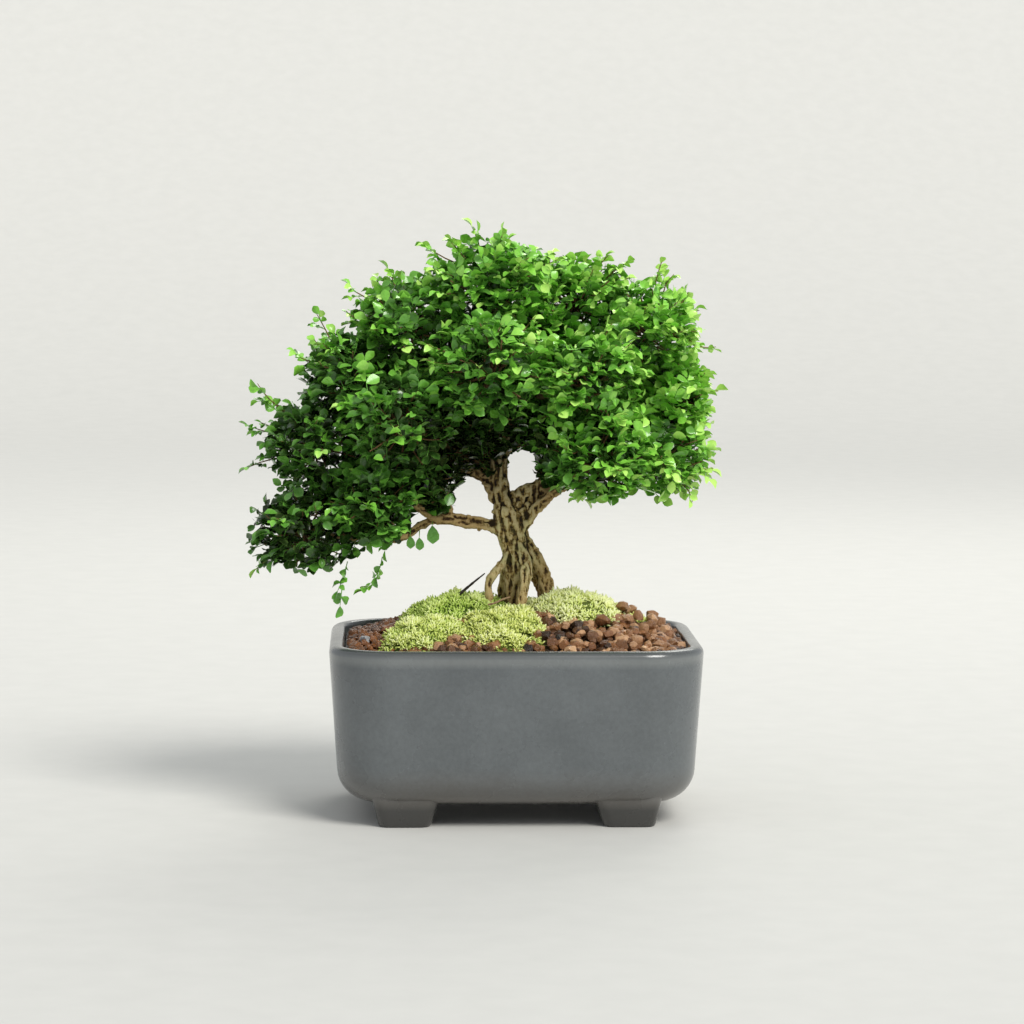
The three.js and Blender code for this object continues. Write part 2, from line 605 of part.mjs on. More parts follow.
// Opens one face of a core and lets a blade grow out of it: a collar, two bands of faces and a tip.
function graft(points, faces, corners, { stalk, broad, tip }) {
  const add = (p) => points.push(p) - 1;
  const [a, b, c] = corners.map((k) => points[k]);
  const outward = b.clone().sub(a).cross(c.clone().sub(a));
  const turn = stalk[1].clone().sub(stalk[0]).cross(stalk[2].clone().sub(stalk[0]));
  const order = turn.dot(outward) > 0 ? [0, 1, 2] : [0, 2, 1];
  const foot = order.map((k) => add(stalk[k]));
  const wide = order.map((k) => add(broad[k]));
  const end = add(tip);
  const stretch = (shift) => corners.reduce(
    (sum, corner, k) => sum + points[corner].distanceToSquared(points[foot[(k + shift) % 3]]), 0);
  const shift = [0, 1, 2].reduce((best, k) => (stretch(k) < stretch(best) ? k : best));
  const inner = [0, 1, 2].map((k) => foot[(k + shift) % 3]);
  const outer = [0, 1, 2].map((k) => wide[(k + shift) % 3]);
  band(faces, corners, inner);
  band(faces, inner, outer);
  outer.forEach((k, place) => faces.push(k, outer[(place + 1) % 3], end));
}

function makePad(padIndex) {
  const random = seededRandom(LEAF_SEED + padIndex);
  const { points, faces } = coreMeshes[padIndex];
  const order = faces.map((corners) => ({ corners, draw: random() })).sort((a, b) => a.draw - b.draw);
  const grown = [...points];
  const built = [];
  let count = 0;
  for (const { corners } of order) {
    const leaf = count < LEAVES_PER_PAD && growLeaf(corners.map((k) => points[k]), padIndex, random);
    if (leaf) {
      graft(grown, built, corners, leaf);
      count += 1;
    } else {
      built.push(...corners);
    }
  }
  return solidFrom(grown, built);
}

// Each pad is cut clear of the limbs, and of the inner bush of the pads before it.
let coreRoom = treeRoom;
PADS.forEach((pad, padIndex) => {
  addNode(pad[0], makePad(padIndex).subtract(coreRoom), "leaf");
  coreRoom = coreRoom.add(solidOfCore(coreMesh(pad, CORE_SEED + padIndex, CORE_GAP)));
});

// Origin under the middle of the whole tree, on the surface it stands on
const box = new THREE.Box3().setFromObject(group);
group.position.set(-(box.min.x + box.max.x) / 2, -(box.min.y + box.max.y) / 2, -box.min.z);

export default group;
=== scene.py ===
import math
import random

import bmesh
import bpy
import numpy as np
from mathutils import Matrix, Vector, noise


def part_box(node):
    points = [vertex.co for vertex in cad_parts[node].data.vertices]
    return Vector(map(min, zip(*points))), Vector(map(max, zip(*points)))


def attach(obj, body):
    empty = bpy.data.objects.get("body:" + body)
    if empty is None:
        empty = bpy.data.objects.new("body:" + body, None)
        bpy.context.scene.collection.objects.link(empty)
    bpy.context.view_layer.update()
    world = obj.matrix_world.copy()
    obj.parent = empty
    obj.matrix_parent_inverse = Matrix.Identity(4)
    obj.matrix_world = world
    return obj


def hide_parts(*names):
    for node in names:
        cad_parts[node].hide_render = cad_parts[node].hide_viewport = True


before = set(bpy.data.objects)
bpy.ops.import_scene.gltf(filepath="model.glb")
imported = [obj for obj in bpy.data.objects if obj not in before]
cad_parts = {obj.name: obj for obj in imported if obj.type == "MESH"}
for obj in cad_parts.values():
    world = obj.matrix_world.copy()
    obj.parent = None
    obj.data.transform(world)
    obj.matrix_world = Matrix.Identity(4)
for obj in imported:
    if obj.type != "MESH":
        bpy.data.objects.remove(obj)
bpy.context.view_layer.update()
bpy.ops.object.select_all(action="DESELECT")

# Pot. One piece of stoneware, pressed in a mould as a rounded rectangular box that narrows
# towards its base, with four short feet. It was dipped in a satin grey glaze. Its colour is
# darker along the top of the lip and has a painted highlight just below it, partly paler
# glaze at the edge; a brown band at the bottom edge, partly glaze and partly a painted
# reflection of the ground; and painted shade on the feet.
pot_low, pot_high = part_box("pot")
POT_X = (pot_low.x + pot_high.x) / 2
POT_Y = (pot_low.y + pot_high.y) / 2
POT_WIDE = pot_high.x - pot_low.x
POT_DEEP = pot_high.y - pot_low.y
RIM = pot_high.z
UNDERSIDE = 0.012
POT_FLOOR = 0.019
CORNER = 0.036
WALL = 0.008
NARROWING = 0.0056
LIP_OUTER_BEVEL = 0.0045
LIP_INNER_BEVEL = 0.0022
FOOT_OUT = 0.060
FOOT_BACK = 0.055
FOOT_SIZE = (0.039, 0.032, 0.015)
DRAIN_HOLE_OUT = 0.045
DRAIN_HOLE_RADIUS = 0.011


def choose(kind, test):
    """Selects those verts, edges or faces of the mesh in edit mode that pass the test."""
    mesh = bpy.context.edit_object.data
    bpy.ops.mesh.select_mode(type={"verts": "VERT", "edges": "EDGE", "faces": "FACE"}[kind])
    bpy.ops.mesh.select_all(action="DESELECT")
    shape = bmesh.from_edit_mesh(mesh)
    for item in getattr(shape, kind):
        if test(item):
            item.select_set(True)
    shape.select_flush_mode()
    bmesh.update_edit_mesh(mesh)


def level(height):
    """A test for choose: every corner of the edge or face lies at this height."""
    return lambda item: all(abs(corner.co.z - height) < 1e-5 for corner in item.verts)


def inside_outline(place):
    """How far a place lies inside the pot's outline at the rim, near its wall."""
    x = max(abs(place.x - POT_X) - POT_WIDE / 2 + CORNER, 0)
    y = max(abs(place.y - POT_Y) - POT_DEEP / 2 + CORNER, 0)
    return CORNER - math.hypot(x, y)


def add_block(name, middle, size):
    """Adds a block of the given size, with its place in its mesh, and starts to edit it."""
    bpy.ops.mesh.primitive_cube_add(size=1, location=middle)
    block = bpy.context.object
    block.name = name
    block.scale = size
    bpy.ops.object.transform_apply(location=True, rotation=True, scale=True)
    bpy.ops.object.mode_set(mode="EDIT")
    return block


def cut_with(piece, tool, operation):
    """Joins the tool to the piece or cuts it out of it, and throws the tool away."""
    cut = piece.modifiers.new("cut", "BOOLEAN")
    cut.operation = operation
    cut.solver = "EXACT"
    cut.object = tool
    bpy.context.view_layer.objects.active = piece
    bpy.ops.object.modifier_apply(modifier="cut")
    bpy.data.objects.remove(tool, do_unlink=True)


def narrowed(inset):
    return (1 - 2 * inset / POT_WIDE, 1 - 2 * inset / POT_DEEP, 1)


pot = add_block(
    "glazed_pot", (POT_X, POT_Y, (RIM + UNDERSIDE) / 2), (POT_WIDE, POT_DEEP, RIM - UNDERSIDE)
)
choose("edges", lambda edge: abs(edge.verts[0].co.z - edge.verts[1].co.z) > 0.05)
bpy.ops.mesh.bevel(offset=CORNER, segments=14, affect="EDGES")
choose("faces", level(UNDERSIDE))
bpy.ops.transform.resize(value=narrowed(NARROWING), center_override=(POT_X, POT_Y, UNDERSIDE))
choose("edges", level(UNDERSIDE))
bpy.ops.mesh.bevel(offset=0.0165, segments=9, affect="EDGES")
choose("faces", level(RIM))
bpy.ops.mesh.inset(thickness=WALL)
bpy.ops.mesh.extrude_region_move(TRANSFORM_OT_translate={"value": (0, 0, POT_FLOOR - RIM)})
bpy.ops.transform.resize(value=narrowed(0.003), center_override=(POT_X, POT_Y, POT_FLOOR))
choose("edges", level(POT_FLOOR))
bpy.ops.mesh.bevel(offset=0.012, segments=6, affect="EDGES")
choose(
    "edges",
    lambda e: level(RIM)(e) and all(inside_outline(v.co) < WALL / 2 for v in e.verts),
)
bpy.ops.mesh.bevel(offset=LIP_OUTER_BEVEL, segments=7, affect="EDGES")
choose(
    "edges",
    lambda e: level(RIM)(e) and all(inside_outline(v.co) > WALL - 0.0005 for v in e.verts),
)
bpy.ops.mesh.bevel(offset=LIP_INNER_BEVEL, segments=4, affect="EDGES")
bpy.ops.object.mode_set(mode="OBJECT")

for side_x in (-1, 1):
    for side_y in (-1, 1):
        foot_x, foot_y = POT_X + side_x * FOOT_OUT, POT_Y + side_y * FOOT_BACK
        foot = add_block("foot", (foot_x, foot_y, FOOT_SIZE[2] / 2), FOOT_SIZE)
        choose("faces", level(0))
        bpy.ops.transform.resize(
            value=(0.72, 0.80, 1), center_override=(foot_x + side_x * 0.003, foot_y, 0)
        )
        choose("verts", lambda v: v.co.z > 0.01 and (v.co.x - foot_x) * side_x > 0)
        bpy.ops.transform.translate(value=(0, 0, 0.0015))
        choose("verts", lambda v: v.co.z > 0.01 and (v.co.y - foot_y) * side_y > 0)
        bpy.ops.transform.translate(value=(0, 0, 0.0045))
        choose("edges", lambda e: abs(e.verts[0].co.z - e.verts[1].co.z) > 0.01)
        bpy.ops.mesh.bevel(offset=0.006, segments=5, affect="EDGES")
        choose("edges", level(0))
        bpy.ops.mesh.bevel(offset=0.0012, segments=2, affect="EDGES")
        bpy.ops.object.mode_set(mode="OBJECT")
        cut_with(pot, foot, "UNION")
for side_x in (-1, 1):
    bpy.ops.mesh.primitive_cylinder_add(
        vertices=40, radius=DRAIN_HOLE_RADIUS, depth=0.03,
        location=(POT_X + side_x * DRAIN_HOLE_OUT, POT_Y, 0.015),
    )
    cut_with(pot, bpy.context.object, "DIFFERENCE")
pot.select_set(True)
bpy.ops.object.shade_smooth_by_angle(angle=math.radians(32))


def shade(tree, kind, sockets=None, **settings):
    """Adds one node. A socket is given a number, a colour or the output of another node."""
    made = tree.nodes.new("ShaderNode" + kind)
    for name, value in settings.items():
        setattr(made, name, value)
    for name, value in (sockets or {}).items():
        if isinstance(value, bpy.types.NodeSocket):
            tree.links.new(value, made.inputs[name])
        else:
            made.inputs[name].default_value = value
    return made


def blend(tree, share, first, second, way="MIX"):
    """Mixes two colours."""
    return shade(
        tree, "Mix", {0: share, 6: first, 7: second}, data_type="RGBA", blend_type=way
    ).outputs[2]


def ramp(tree, share, *stops):
    """A colour ramp: each stop is a place from 0 to 1 and a grey or a colour."""
    made = shade(tree, "ValToRGB", {0: share})
    bands = made.color_ramp.elements
    while len(bands) < len(stops):
        bands.new(0.5)
    for band, (place, tone) in zip(bands, stops):
        band.position = place
        band.color = (tone, tone, tone, 1) if isinstance(tone, (int, float)) else (*tone, 1)
    return made.outputs[0]


def between(tree, value, low, high, to_low=0.0, to_high=1.0):
    """Maps a value from one range to another, and holds it there."""
    return shade(
        tree, "MapRange", {0: value, 1: low, 2: high, 3: to_low, 4: to_high}
    ).outputs[0]


def new_finish(name):
    """A new material: itself, its node tree and its surface shader."""
    finish = bpy.data.materials.new(name)
    finish.use_nodes = True
    return finish, finish.node_tree, finish.node_tree.nodes["Principled BSDF"]


def speckle(tree, where, scale, detail=3.0, rough=0.55):
    return shade(
        tree, "TexNoise", {"Vector": where, "Scale": scale, "Detail": detail, "Roughness": rough}
    ).outputs[0]


glaze, tree, coat = new_finish("satin_grey_glaze")
where = shade(tree, "TexCoord").outputs["Object"]
height = shade(tree, "SeparateXYZ", {0: where}).outputs["Z"]
clouding = speckle(tree, where, 26, 5)
colour = ramp(tree, clouding, (0.30, (0.086, 0.096, 0.101)), (0.70, (0.114, 0.126, 0.131)))
fine = speckle(tree, where, 420, 4, 0.7)
colour = blend(tree, 0.5, colour, ramp(tree, fine, (0.3, 0.40), (0.7, 0.62)), "OVERLAY")
iron = ramp(tree, speckle(tree, where, 1500, 2), (0.66, 0), (0.73, 1))
colour = blend(tree, between(tree, iron, 0, 1, 0, 0.45), colour, (0.060, 0.052, 0.045, 1))
# A brown band along the bottom edge with a wavy top: partly the glaze's own colour, partly a
# painted warm reflection of the ground.
wavy_height = shade(
    tree, "Math", {0: height, 1: between(tree, clouding, 0, 1, -0.006, 0.006)}, operation="ADD"
).outputs[0]
brown = between(tree, wavy_height, 0.034, 0.013, 0, 0.55)
colour = blend(tree, brown, colour, (0.118, 0.095, 0.072, 1))
# A pale band just below the top of the lip: a painted highlight, partly paler glaze where it runs
# thin at the edge.
pale = between(tree, height, RIM - 0.0095, RIM - 0.0060, 0, 0.28)
colour = blend(tree, pale, colour, (0.290, 0.300, 0.285, 1))
# Darker along the top of the lip.
darker_lip_top = between(tree, height, RIM - 0.0042, RIM - 0.0018, 0, 0.88)
colour = blend(tree, darker_lip_top, colour, (0.058, 0.063, 0.064, 1))
# Painted shade on the feet, under the pot's belly.
shaded = between(tree, height, 0.0150, 0.0095, 0, 0.80)
colour = blend(tree, shaded, colour, (0.022, 0.023, 0.022, 1))
tree.links.new(colour, coat.inputs["Base Color"])
tree.links.new(between(tree, clouding, 0.3, 0.7, 0.20, 0.34), coat.inputs["Roughness"])
coat.inputs["Coat Weight"].default_value = 0.35
coat.inputs["Coat Roughness"].default_value = 0.14
ripple = speckle(tree, where, 22, 1)
pits = speckle(tree, where, 900, 2)
relief = shade(tree, "Bump", {"Height": ripple, "Strength": 0.10, "Distance": 0.0030})
relief = shade(
    tree, "Bump",
    {"Height": pits, "Strength": 0.10, "Distance": 0.0003, "Normal": relief.outputs[0]},
)
tree.links.new(relief.outputs[0], coat.inputs["Normal"])
pot.data.materials.append(glaze)
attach(pot, "root")
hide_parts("pot")

# Drain screens. Two squares of black plastic mesh that lie on the pot's floor over the drain
# holes and keep the grit in. They are moulded flat, so the CAD nodes keep their shape.
mesh_plastic, tree, coat = new_finish("black_mesh_plastic")
where = shade(tree, "TexCoord").outputs["Object"]
dust = speckle(tree, where, 380, 4)
colour = ramp(tree, dust, (0.35, (0.012, 0.012, 0.012)), (0.75, (0.055, 0.045, 0.036)))
tree.links.new(colour, coat.inputs["Base Color"])
tree.links.new(between(tree, dust, 0.3, 0.7, 0.42, 0.75), coat.inputs["Roughness"])
relief = shade(tree, "Bump", {"Height": dust, "Strength": 0.2, "Distance": 0.0002})
tree.links.new(relief.outputs[0], coat.inputs["Normal"])
for name in ("drain_screen_left", "drain_screen_right"):
    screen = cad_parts[name]
    screen.data.materials.clear()
    screen.data.materials.append(mesh_plastic)

# Grit. The pot is filled with dark soil that rises to a mound under the tree, and topped
# with a loose layer of wet red-brown baked-clay grit of 4 to 9 mm. The soil is the packed
# body with a finer crumb, and the grains are a few chipped stones, copied and strewn.
GRAINS = 1250


def soil_height(x, y):
    """Height of the soil over the foot plane, in mm, at a place in mm from the pot's middle."""
    reach = (abs(x / 93.4) ** 3 + abs(y / 73.9) ** 3) ** (1 / 3)
    return 92 + (17 + 0.04 * x) * (1 - min(reach, 1) ** 2.4)


def at(x, y, z):
    """A place in mm from the pot's middle on the foot plane, as metres in the row frame."""
    return Vector((POT_X + x / 1000, POT_Y + y / 1000, z / 1000))


def in_pot(place):
    return (place.x - POT_X) * 1000, (place.y - POT_Y) * 1000


soil_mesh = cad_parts["grit"].data.copy()
soil = bpy.data.objects.new("soil_and_grit", soil_mesh)
bpy.context.collection.objects.link(soil)
soil_mesh.materials.clear()
bpy.ops.object.select_all(action="DESELECT")
bpy.context.view_layer.objects.active = soil
soil.select_set(True)
bpy.ops.object.mode_set(mode="EDIT")
bpy.ops.mesh.select_all(action="SELECT")
bpy.ops.mesh.remove_doubles(threshold=0.00002)
choose("faces", lambda f: f.normal.z > 0.3 and f.calc_center_median().z > 0.085)
bpy.ops.mesh.subdivide(number_cuts=2)
shape = bmesh.from_edit_mesh(soil_mesh)
for corner in shape.verts:
    if corner.co.z > 0.085 and inside_outline(corner.co) > WALL + 0.002:
        x, y = in_pot(corner.co)
        crumb = noise.noise(corner.co * 420)
        corner.co.z = (soil_height(x, y) - 1.6 + 1.1 * crumb) / 1000
bmesh.update_edit_mesh(soil_mesh)
bpy.ops.object.mode_set(mode="OBJECT")
soil_mesh.shade_smooth()


def take(piece):
    """Takes a modelled shape as two arrays of corners and triangles, and throws it away."""
    shape = bmesh.new()
    shape.from_mesh(piece.data)
    bmesh.ops.triangulate(shape, faces=shape.faces)
    shape.verts.ensure_lookup_table()
    corners = np.array([v.co[:] for v in shape.verts], float)
    faces = np.array([[v.index for v in f.verts] for f in shape.faces], int)
    shape.free()
    bpy.data.objects.remove(piece, do_unlink=True)
    return corners, faces


def lay(shape, turns, places):
    """Copies a shape to every turn, a 3 x 3 matrix with the size in it, and place."""
    corners, faces = shape
    laid = np.einsum("nij,vj->nvi", turns, corners) + places[:, None, :]
    steps = np.arange(len(places))[:, None, None] * len(corners)
    return laid.reshape(-1, 3), (faces[None] + steps).reshape(-1, 3)


def gather(parts):
    """Puts parts of (corners, faces, tint of each corner) together in one set."""
    corners, faces, tints, count = [], [], [], 0
    for some_corners, some_faces, some_tints in parts:
        corners.append(some_corners)
        faces.append(some_faces + count)
        tints.append(some_tints)
        count += len(some_corners)
    return np.concatenate(corners), np.concatenate(faces), np.concatenate(tints)


def build(name, corners, faces, tints, tint_name):
    """Makes a piece from corners, triangles and a tint of three numbers for each corner."""
    mesh = bpy.data.meshes.new(name)
    mesh.vertices.add(len(corners))
    mesh.vertices.foreach_set("co", corners.astype(np.float32).ravel())
    mesh.loops.add(faces.size)
    mesh.loops.foreach_set("vertex_index", faces.astype(np.int32).ravel())
    mesh.polygons.add(len(faces))
    mesh.polygons.foreach_set("loop_start", np.arange(0, faces.size, 3, dtype=np.int32))
    mesh.update(calc_edges=True)
    mesh.validate()
    paint = mesh.color_attributes.new(tint_name, "FLOAT_COLOR", "POINT")
    whole = np.ones((len(corners), 4), np.float32)
    whole[:, :3] = tints
    paint.data.foreach_set("color", whole.ravel())
    mesh.shade_smooth()
    piece = bpy.data.objects.new(name, mesh)
    bpy.context.collection.objects.link(piece)
    return piece


def join(pieces):
    """Joins pieces into the first one."""
    bpy.ops.object.select_all(action="DESELECT")
    for piece in pieces:
        piece.select_set(True)
    bpy.context.view_layer.objects.active = pieces[0]
    bpy.ops.object.join()
    return pieces[0]


chance = random.Random(3)
stones = []
for number in range(7):
    bpy.ops.mesh.primitive_ico_sphere_add(subdivisions=1, radius=0.56, location=(0, 0, 0))
    stone = bpy.context.object
    bpy.ops.object.mode_set(mode="EDIT")
    bpy.ops.transform.resize(value=(1.08, chance.uniform(0.78, 0.95), chance.uniform(0.6, 0.8)))
    for chip in range(9):
        side = Vector([chance.gauss(0, 1) for axis in range(3)]).normalized()
        depth = chance.uniform(0.27, 0.40)
        bpy.ops.mesh.select_all(action="SELECT")
        bpy.ops.mesh.bisect(plane_co=side * depth, plane_no=side, use_fill=True, clear_outer=True)
    bpy.ops.object.mode_set(mode="OBJECT")
    stones.append(take(stone))

MOSS = {
    "moss_centre": (-7, -39, 22, 31, 7.5, 11),
    "moss_right": (35, -9, 27, 26, 12.5, 12),
    "moss_left_back": (-33, -1, 29, 26, 13, 13),
    "moss_left_front": (-52, -42, 22, 22, 9, 14),
    "moss_right_small": (70, -4, 9, 10, 5.5, 15),
    "moss_back": (-2, 40, 28, 21, 6.5, 16),
    "moss_back_right": (48, 38, 17, 14, 5, 17),
}


def moss_edge(angle, seed):
    """How far a cushion's uneven outline reaches, as a share of its half sizes."""
    return 1 + 0.09 * math.sin(3 * angle + seed) + 0.06 * math.sin(5 * angle + 2 * seed)


def under_moss(x, y):
    for middle_x, middle_y, half_x, half_y, height, seed in MOSS.values():
        across, along = (x - middle_x) / half_x, (y - middle_y) / half_y
        if math.hypot(across, along) < 0.9 * moss_edge(math.atan2(along, across), seed):
            return True
    return False


def new_grain(x, y, size, lift, tint):
    """One grain of the given size in mm, lying flat or heeled over."""
    flat = Matrix.Rotation(chance.uniform(0, 2 * math.pi), 3, "Z")
    heeled = flat @ Matrix.Rotation(chance.gauss(0, 0.5), 3, "X")
    heeled = heeled @ Matrix.Rotation(chance.gauss(0, 0.5), 3, "Y")
    height = soil_height(x, y) + lift
    grains[chance.randrange(len(stones))].append(
        (np.array(heeled) * size / 1000, at(x, y, height)[:], tint)
    )


grains = [[] for stone in stones]
strewn = 0
while strewn < GRAINS:
    x, y = chance.uniform(-94, 94), chance.uniform(-74, 74)
    place = at(x, y, 0)
    size = min(max(chance.gauss(6.6, 1.5), 3.6), 9.6)
    if inside_outline(place) < WALL + 0.0006 + size / 2500 or under_moss(x, y):
        continue
    if math.hypot((x + 1) / 15, (y - 1) / 15) < 1 and chance.random() < 0.7:
        continue
    orange = 0.75 if x < -62 else 0.22
    tint = (chance.random(), chance.random() * 0.5 + orange * 0.5, chance.random())
    if x < -62:
        size *= 0.72
        tint = (0.08 + 0.34 * tint[0], *tint[1:])
    new_grain(x, y, size, chance.uniform(-0.4, 2.6), tint)
    strewn += 1
for x, y, lift in (
    (62, -24, 5), (68, -17, 7), (76, -14, 7), (60, -8, 9), (83, -18, 5), (74, -26, 5), (81, -8, 7),
    (66, 6, 7), (77, 2, 8), (55, -27, 4), (47, -36, 4), (70, -34, 4), (62, -2, 6),
):
    new_grain(x, y, chance.uniform(7.2, 9.2), lift, (chance.uniform(0.5, 0.9), 0.3, 0.5))
new_grain(-82, -32, 8.4, 2.6, (0.5, 0.0, 5.0))
parts = []
for stone, some in zip(stones, grains):
    turns = np.array([grain[0] for grain in some])
    places = np.array([grain[1] for grain in some])
    corners, faces = lay(stone, turns, places)
    tints = np.repeat(np.array([grain[2] for grain in some]), len(stone[0]), axis=0)
    parts.append((corners, faces, tints))
loose = build("loose_grains", *gather(parts), "grain_tint")
bpy.ops.object.select_all(action="DESELECT")
loose.select_set(True)
bpy.context.view_layer.objects.active = loose
bpy.ops.object.shade_smooth_by_angle(angle=math.radians(38))
soil_tint = soil_mesh.color_attributes.new("grain_tint", "FLOAT_COLOR", "POINT")
soil_tint.data.foreach_set("color", [0.1, 0.0, 0.0, 1.0] * len(soil_mesh.vertices))
grit = join([soil, loose])

wet_clay, tree, coat = new_finish("wet_red_brown_grit")
where = shade(tree, "TexCoord").outputs["Object"]
tint = shade(tree, "Attribute", attribute_name="grain_tint").outputs["Vector"]
tint = shade(tree, "SeparateXYZ", {0: tint})
colour = ramp(
    tree, tint.outputs["X"],
    (0.05, (0.014, 0.007, 0.004)), (0.22, (0.085, 0.033, 0.012)), (0.6, (0.260, 0.115, 0.042)),
    (1.0, (0.620, 0.370, 0.200)),
)
colour = blend(
    tree, between(tree, tint.outputs["Y"], 0.3, 0.9, 0, 0.7), colour, (0.310, 0.105, 0.022, 1)
)
colour = blend(
    tree, between(tree, tint.outputs["Z"], 2, 4), colour, (0.300, 0.300, 0.310, 1)
)
pores = speckle(tree, where, 620, 5, 0.75)
colour = blend(tree, 0.7, colour, ramp(tree, pores, (0.3, 0.28), (0.7, 0.68)), "OVERLAY")
tree.links.new(colour, coat.inputs["Base Color"])
tree.links.new(between(tree, pores, 0.3, 0.7, 0.20, 0.42), coat.inputs["Roughness"])
relief = shade(tree, "Bump", {"Height": pores, "Strength": 0.9, "Distance": 0.0009})
tree.links.new(relief.outputs[0], coat.inputs["Normal"])
grit.data.materials.clear()
grit.data.materials.append(wet_clay)
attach(grit, "root")
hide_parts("grit")

# Tree. One living piece of wood: a waisted trunk that splits below into six exposed roots,
# with a long left branch, two branches to the right and a spread of limbs in the canopy.
# Strands laid along each limb are fused with it to make the ropy, fluted bark.
TRUNK = [
    (-1, 5, 92, 4.7), (-0.9, 5, 108, 4.5), (-0.6, 4, 120, 4.4), (0, 2, 131, 5.2),
    (0.6, 0, 141, 6.4), (0.2, 0, 148, 7.2), (-1.4, 0, 154, 8.1), (-3.2, 0, 159, 8.4),
    (-4.9, 0, 166, 7), (-6.8, 0, 174.6, 5.2), (-8.4, 1, 181, 4.7), (-9.1, 2, 189, 4.5),
    (-8, 3, 200, 4.3), (-7, 4, 212, 4), (-6.8, 4, 226, 3.6), (-6.2, 4, 240, 3.2),
    (-7, 3, 255, 2.7), (-10, 1, 269, 2.2), (-12, 0, 281, 1.7),
]
ROOTS = [
    [(-1, -1, 145, 3), (-4.6, -3, 139, 2.5), (-9, -4.5, 133.6, 2.2), (-12.2, -5.5, 130, 2.1),
     (-14, -6, 126.2, 2), (-14.4, -6.5, 121.5, 2.1), (-13.6, -7.5, 115, 2.2),
     (-15, -9, 104, 1.9), (-18, -10, 95, 1.5)],
    [(2, -2, 150, 3.4), (3.8, -4.5, 144, 3.2), (5.8, -7, 138, 3.1), (6.4, -9, 131.5, 3),
     (5.4, -10.5, 125, 3), (3.8, -12, 118, 2.9), (2.2, -14, 110, 2.6), (0.5, -17, 98, 2)],
    [(2.5, 0, 154, 3.8), (5.4, -1, 149, 3.6), (9.4, -1, 143.4, 3.4), (13.4, -1, 137.8, 3.3),
     (16, 0, 132.4, 3.2), (17.8, 0.5, 127, 3.1), (19, 1, 120.5, 3.1), (20.5, 2.5, 109, 2.7),
     (23, 4, 97, 1.9)],
    [(-2, 3, 145, 3.2), (-3, 7, 135, 3), (-4.5, 11, 125, 2.8), (-6, 14, 115, 2.7),
     (-9, 17, 105, 2.2), (-14, 20, 97, 1.5)],
    [(1, 3, 148, 3.2), (5.6, 8, 138, 2.8), (13, 13, 127, 2.7), (17.5, 16, 117, 2.6),
     (20, 19, 106, 2.2), (22, 23, 97, 1.6)],
    [(4, 2, 147, 3), (9.6, 5, 138, 2.7), (15, 7.5, 128, 2.4), (18, 8.5, 118, 2.3),
     (20, 10, 106, 2)],
]
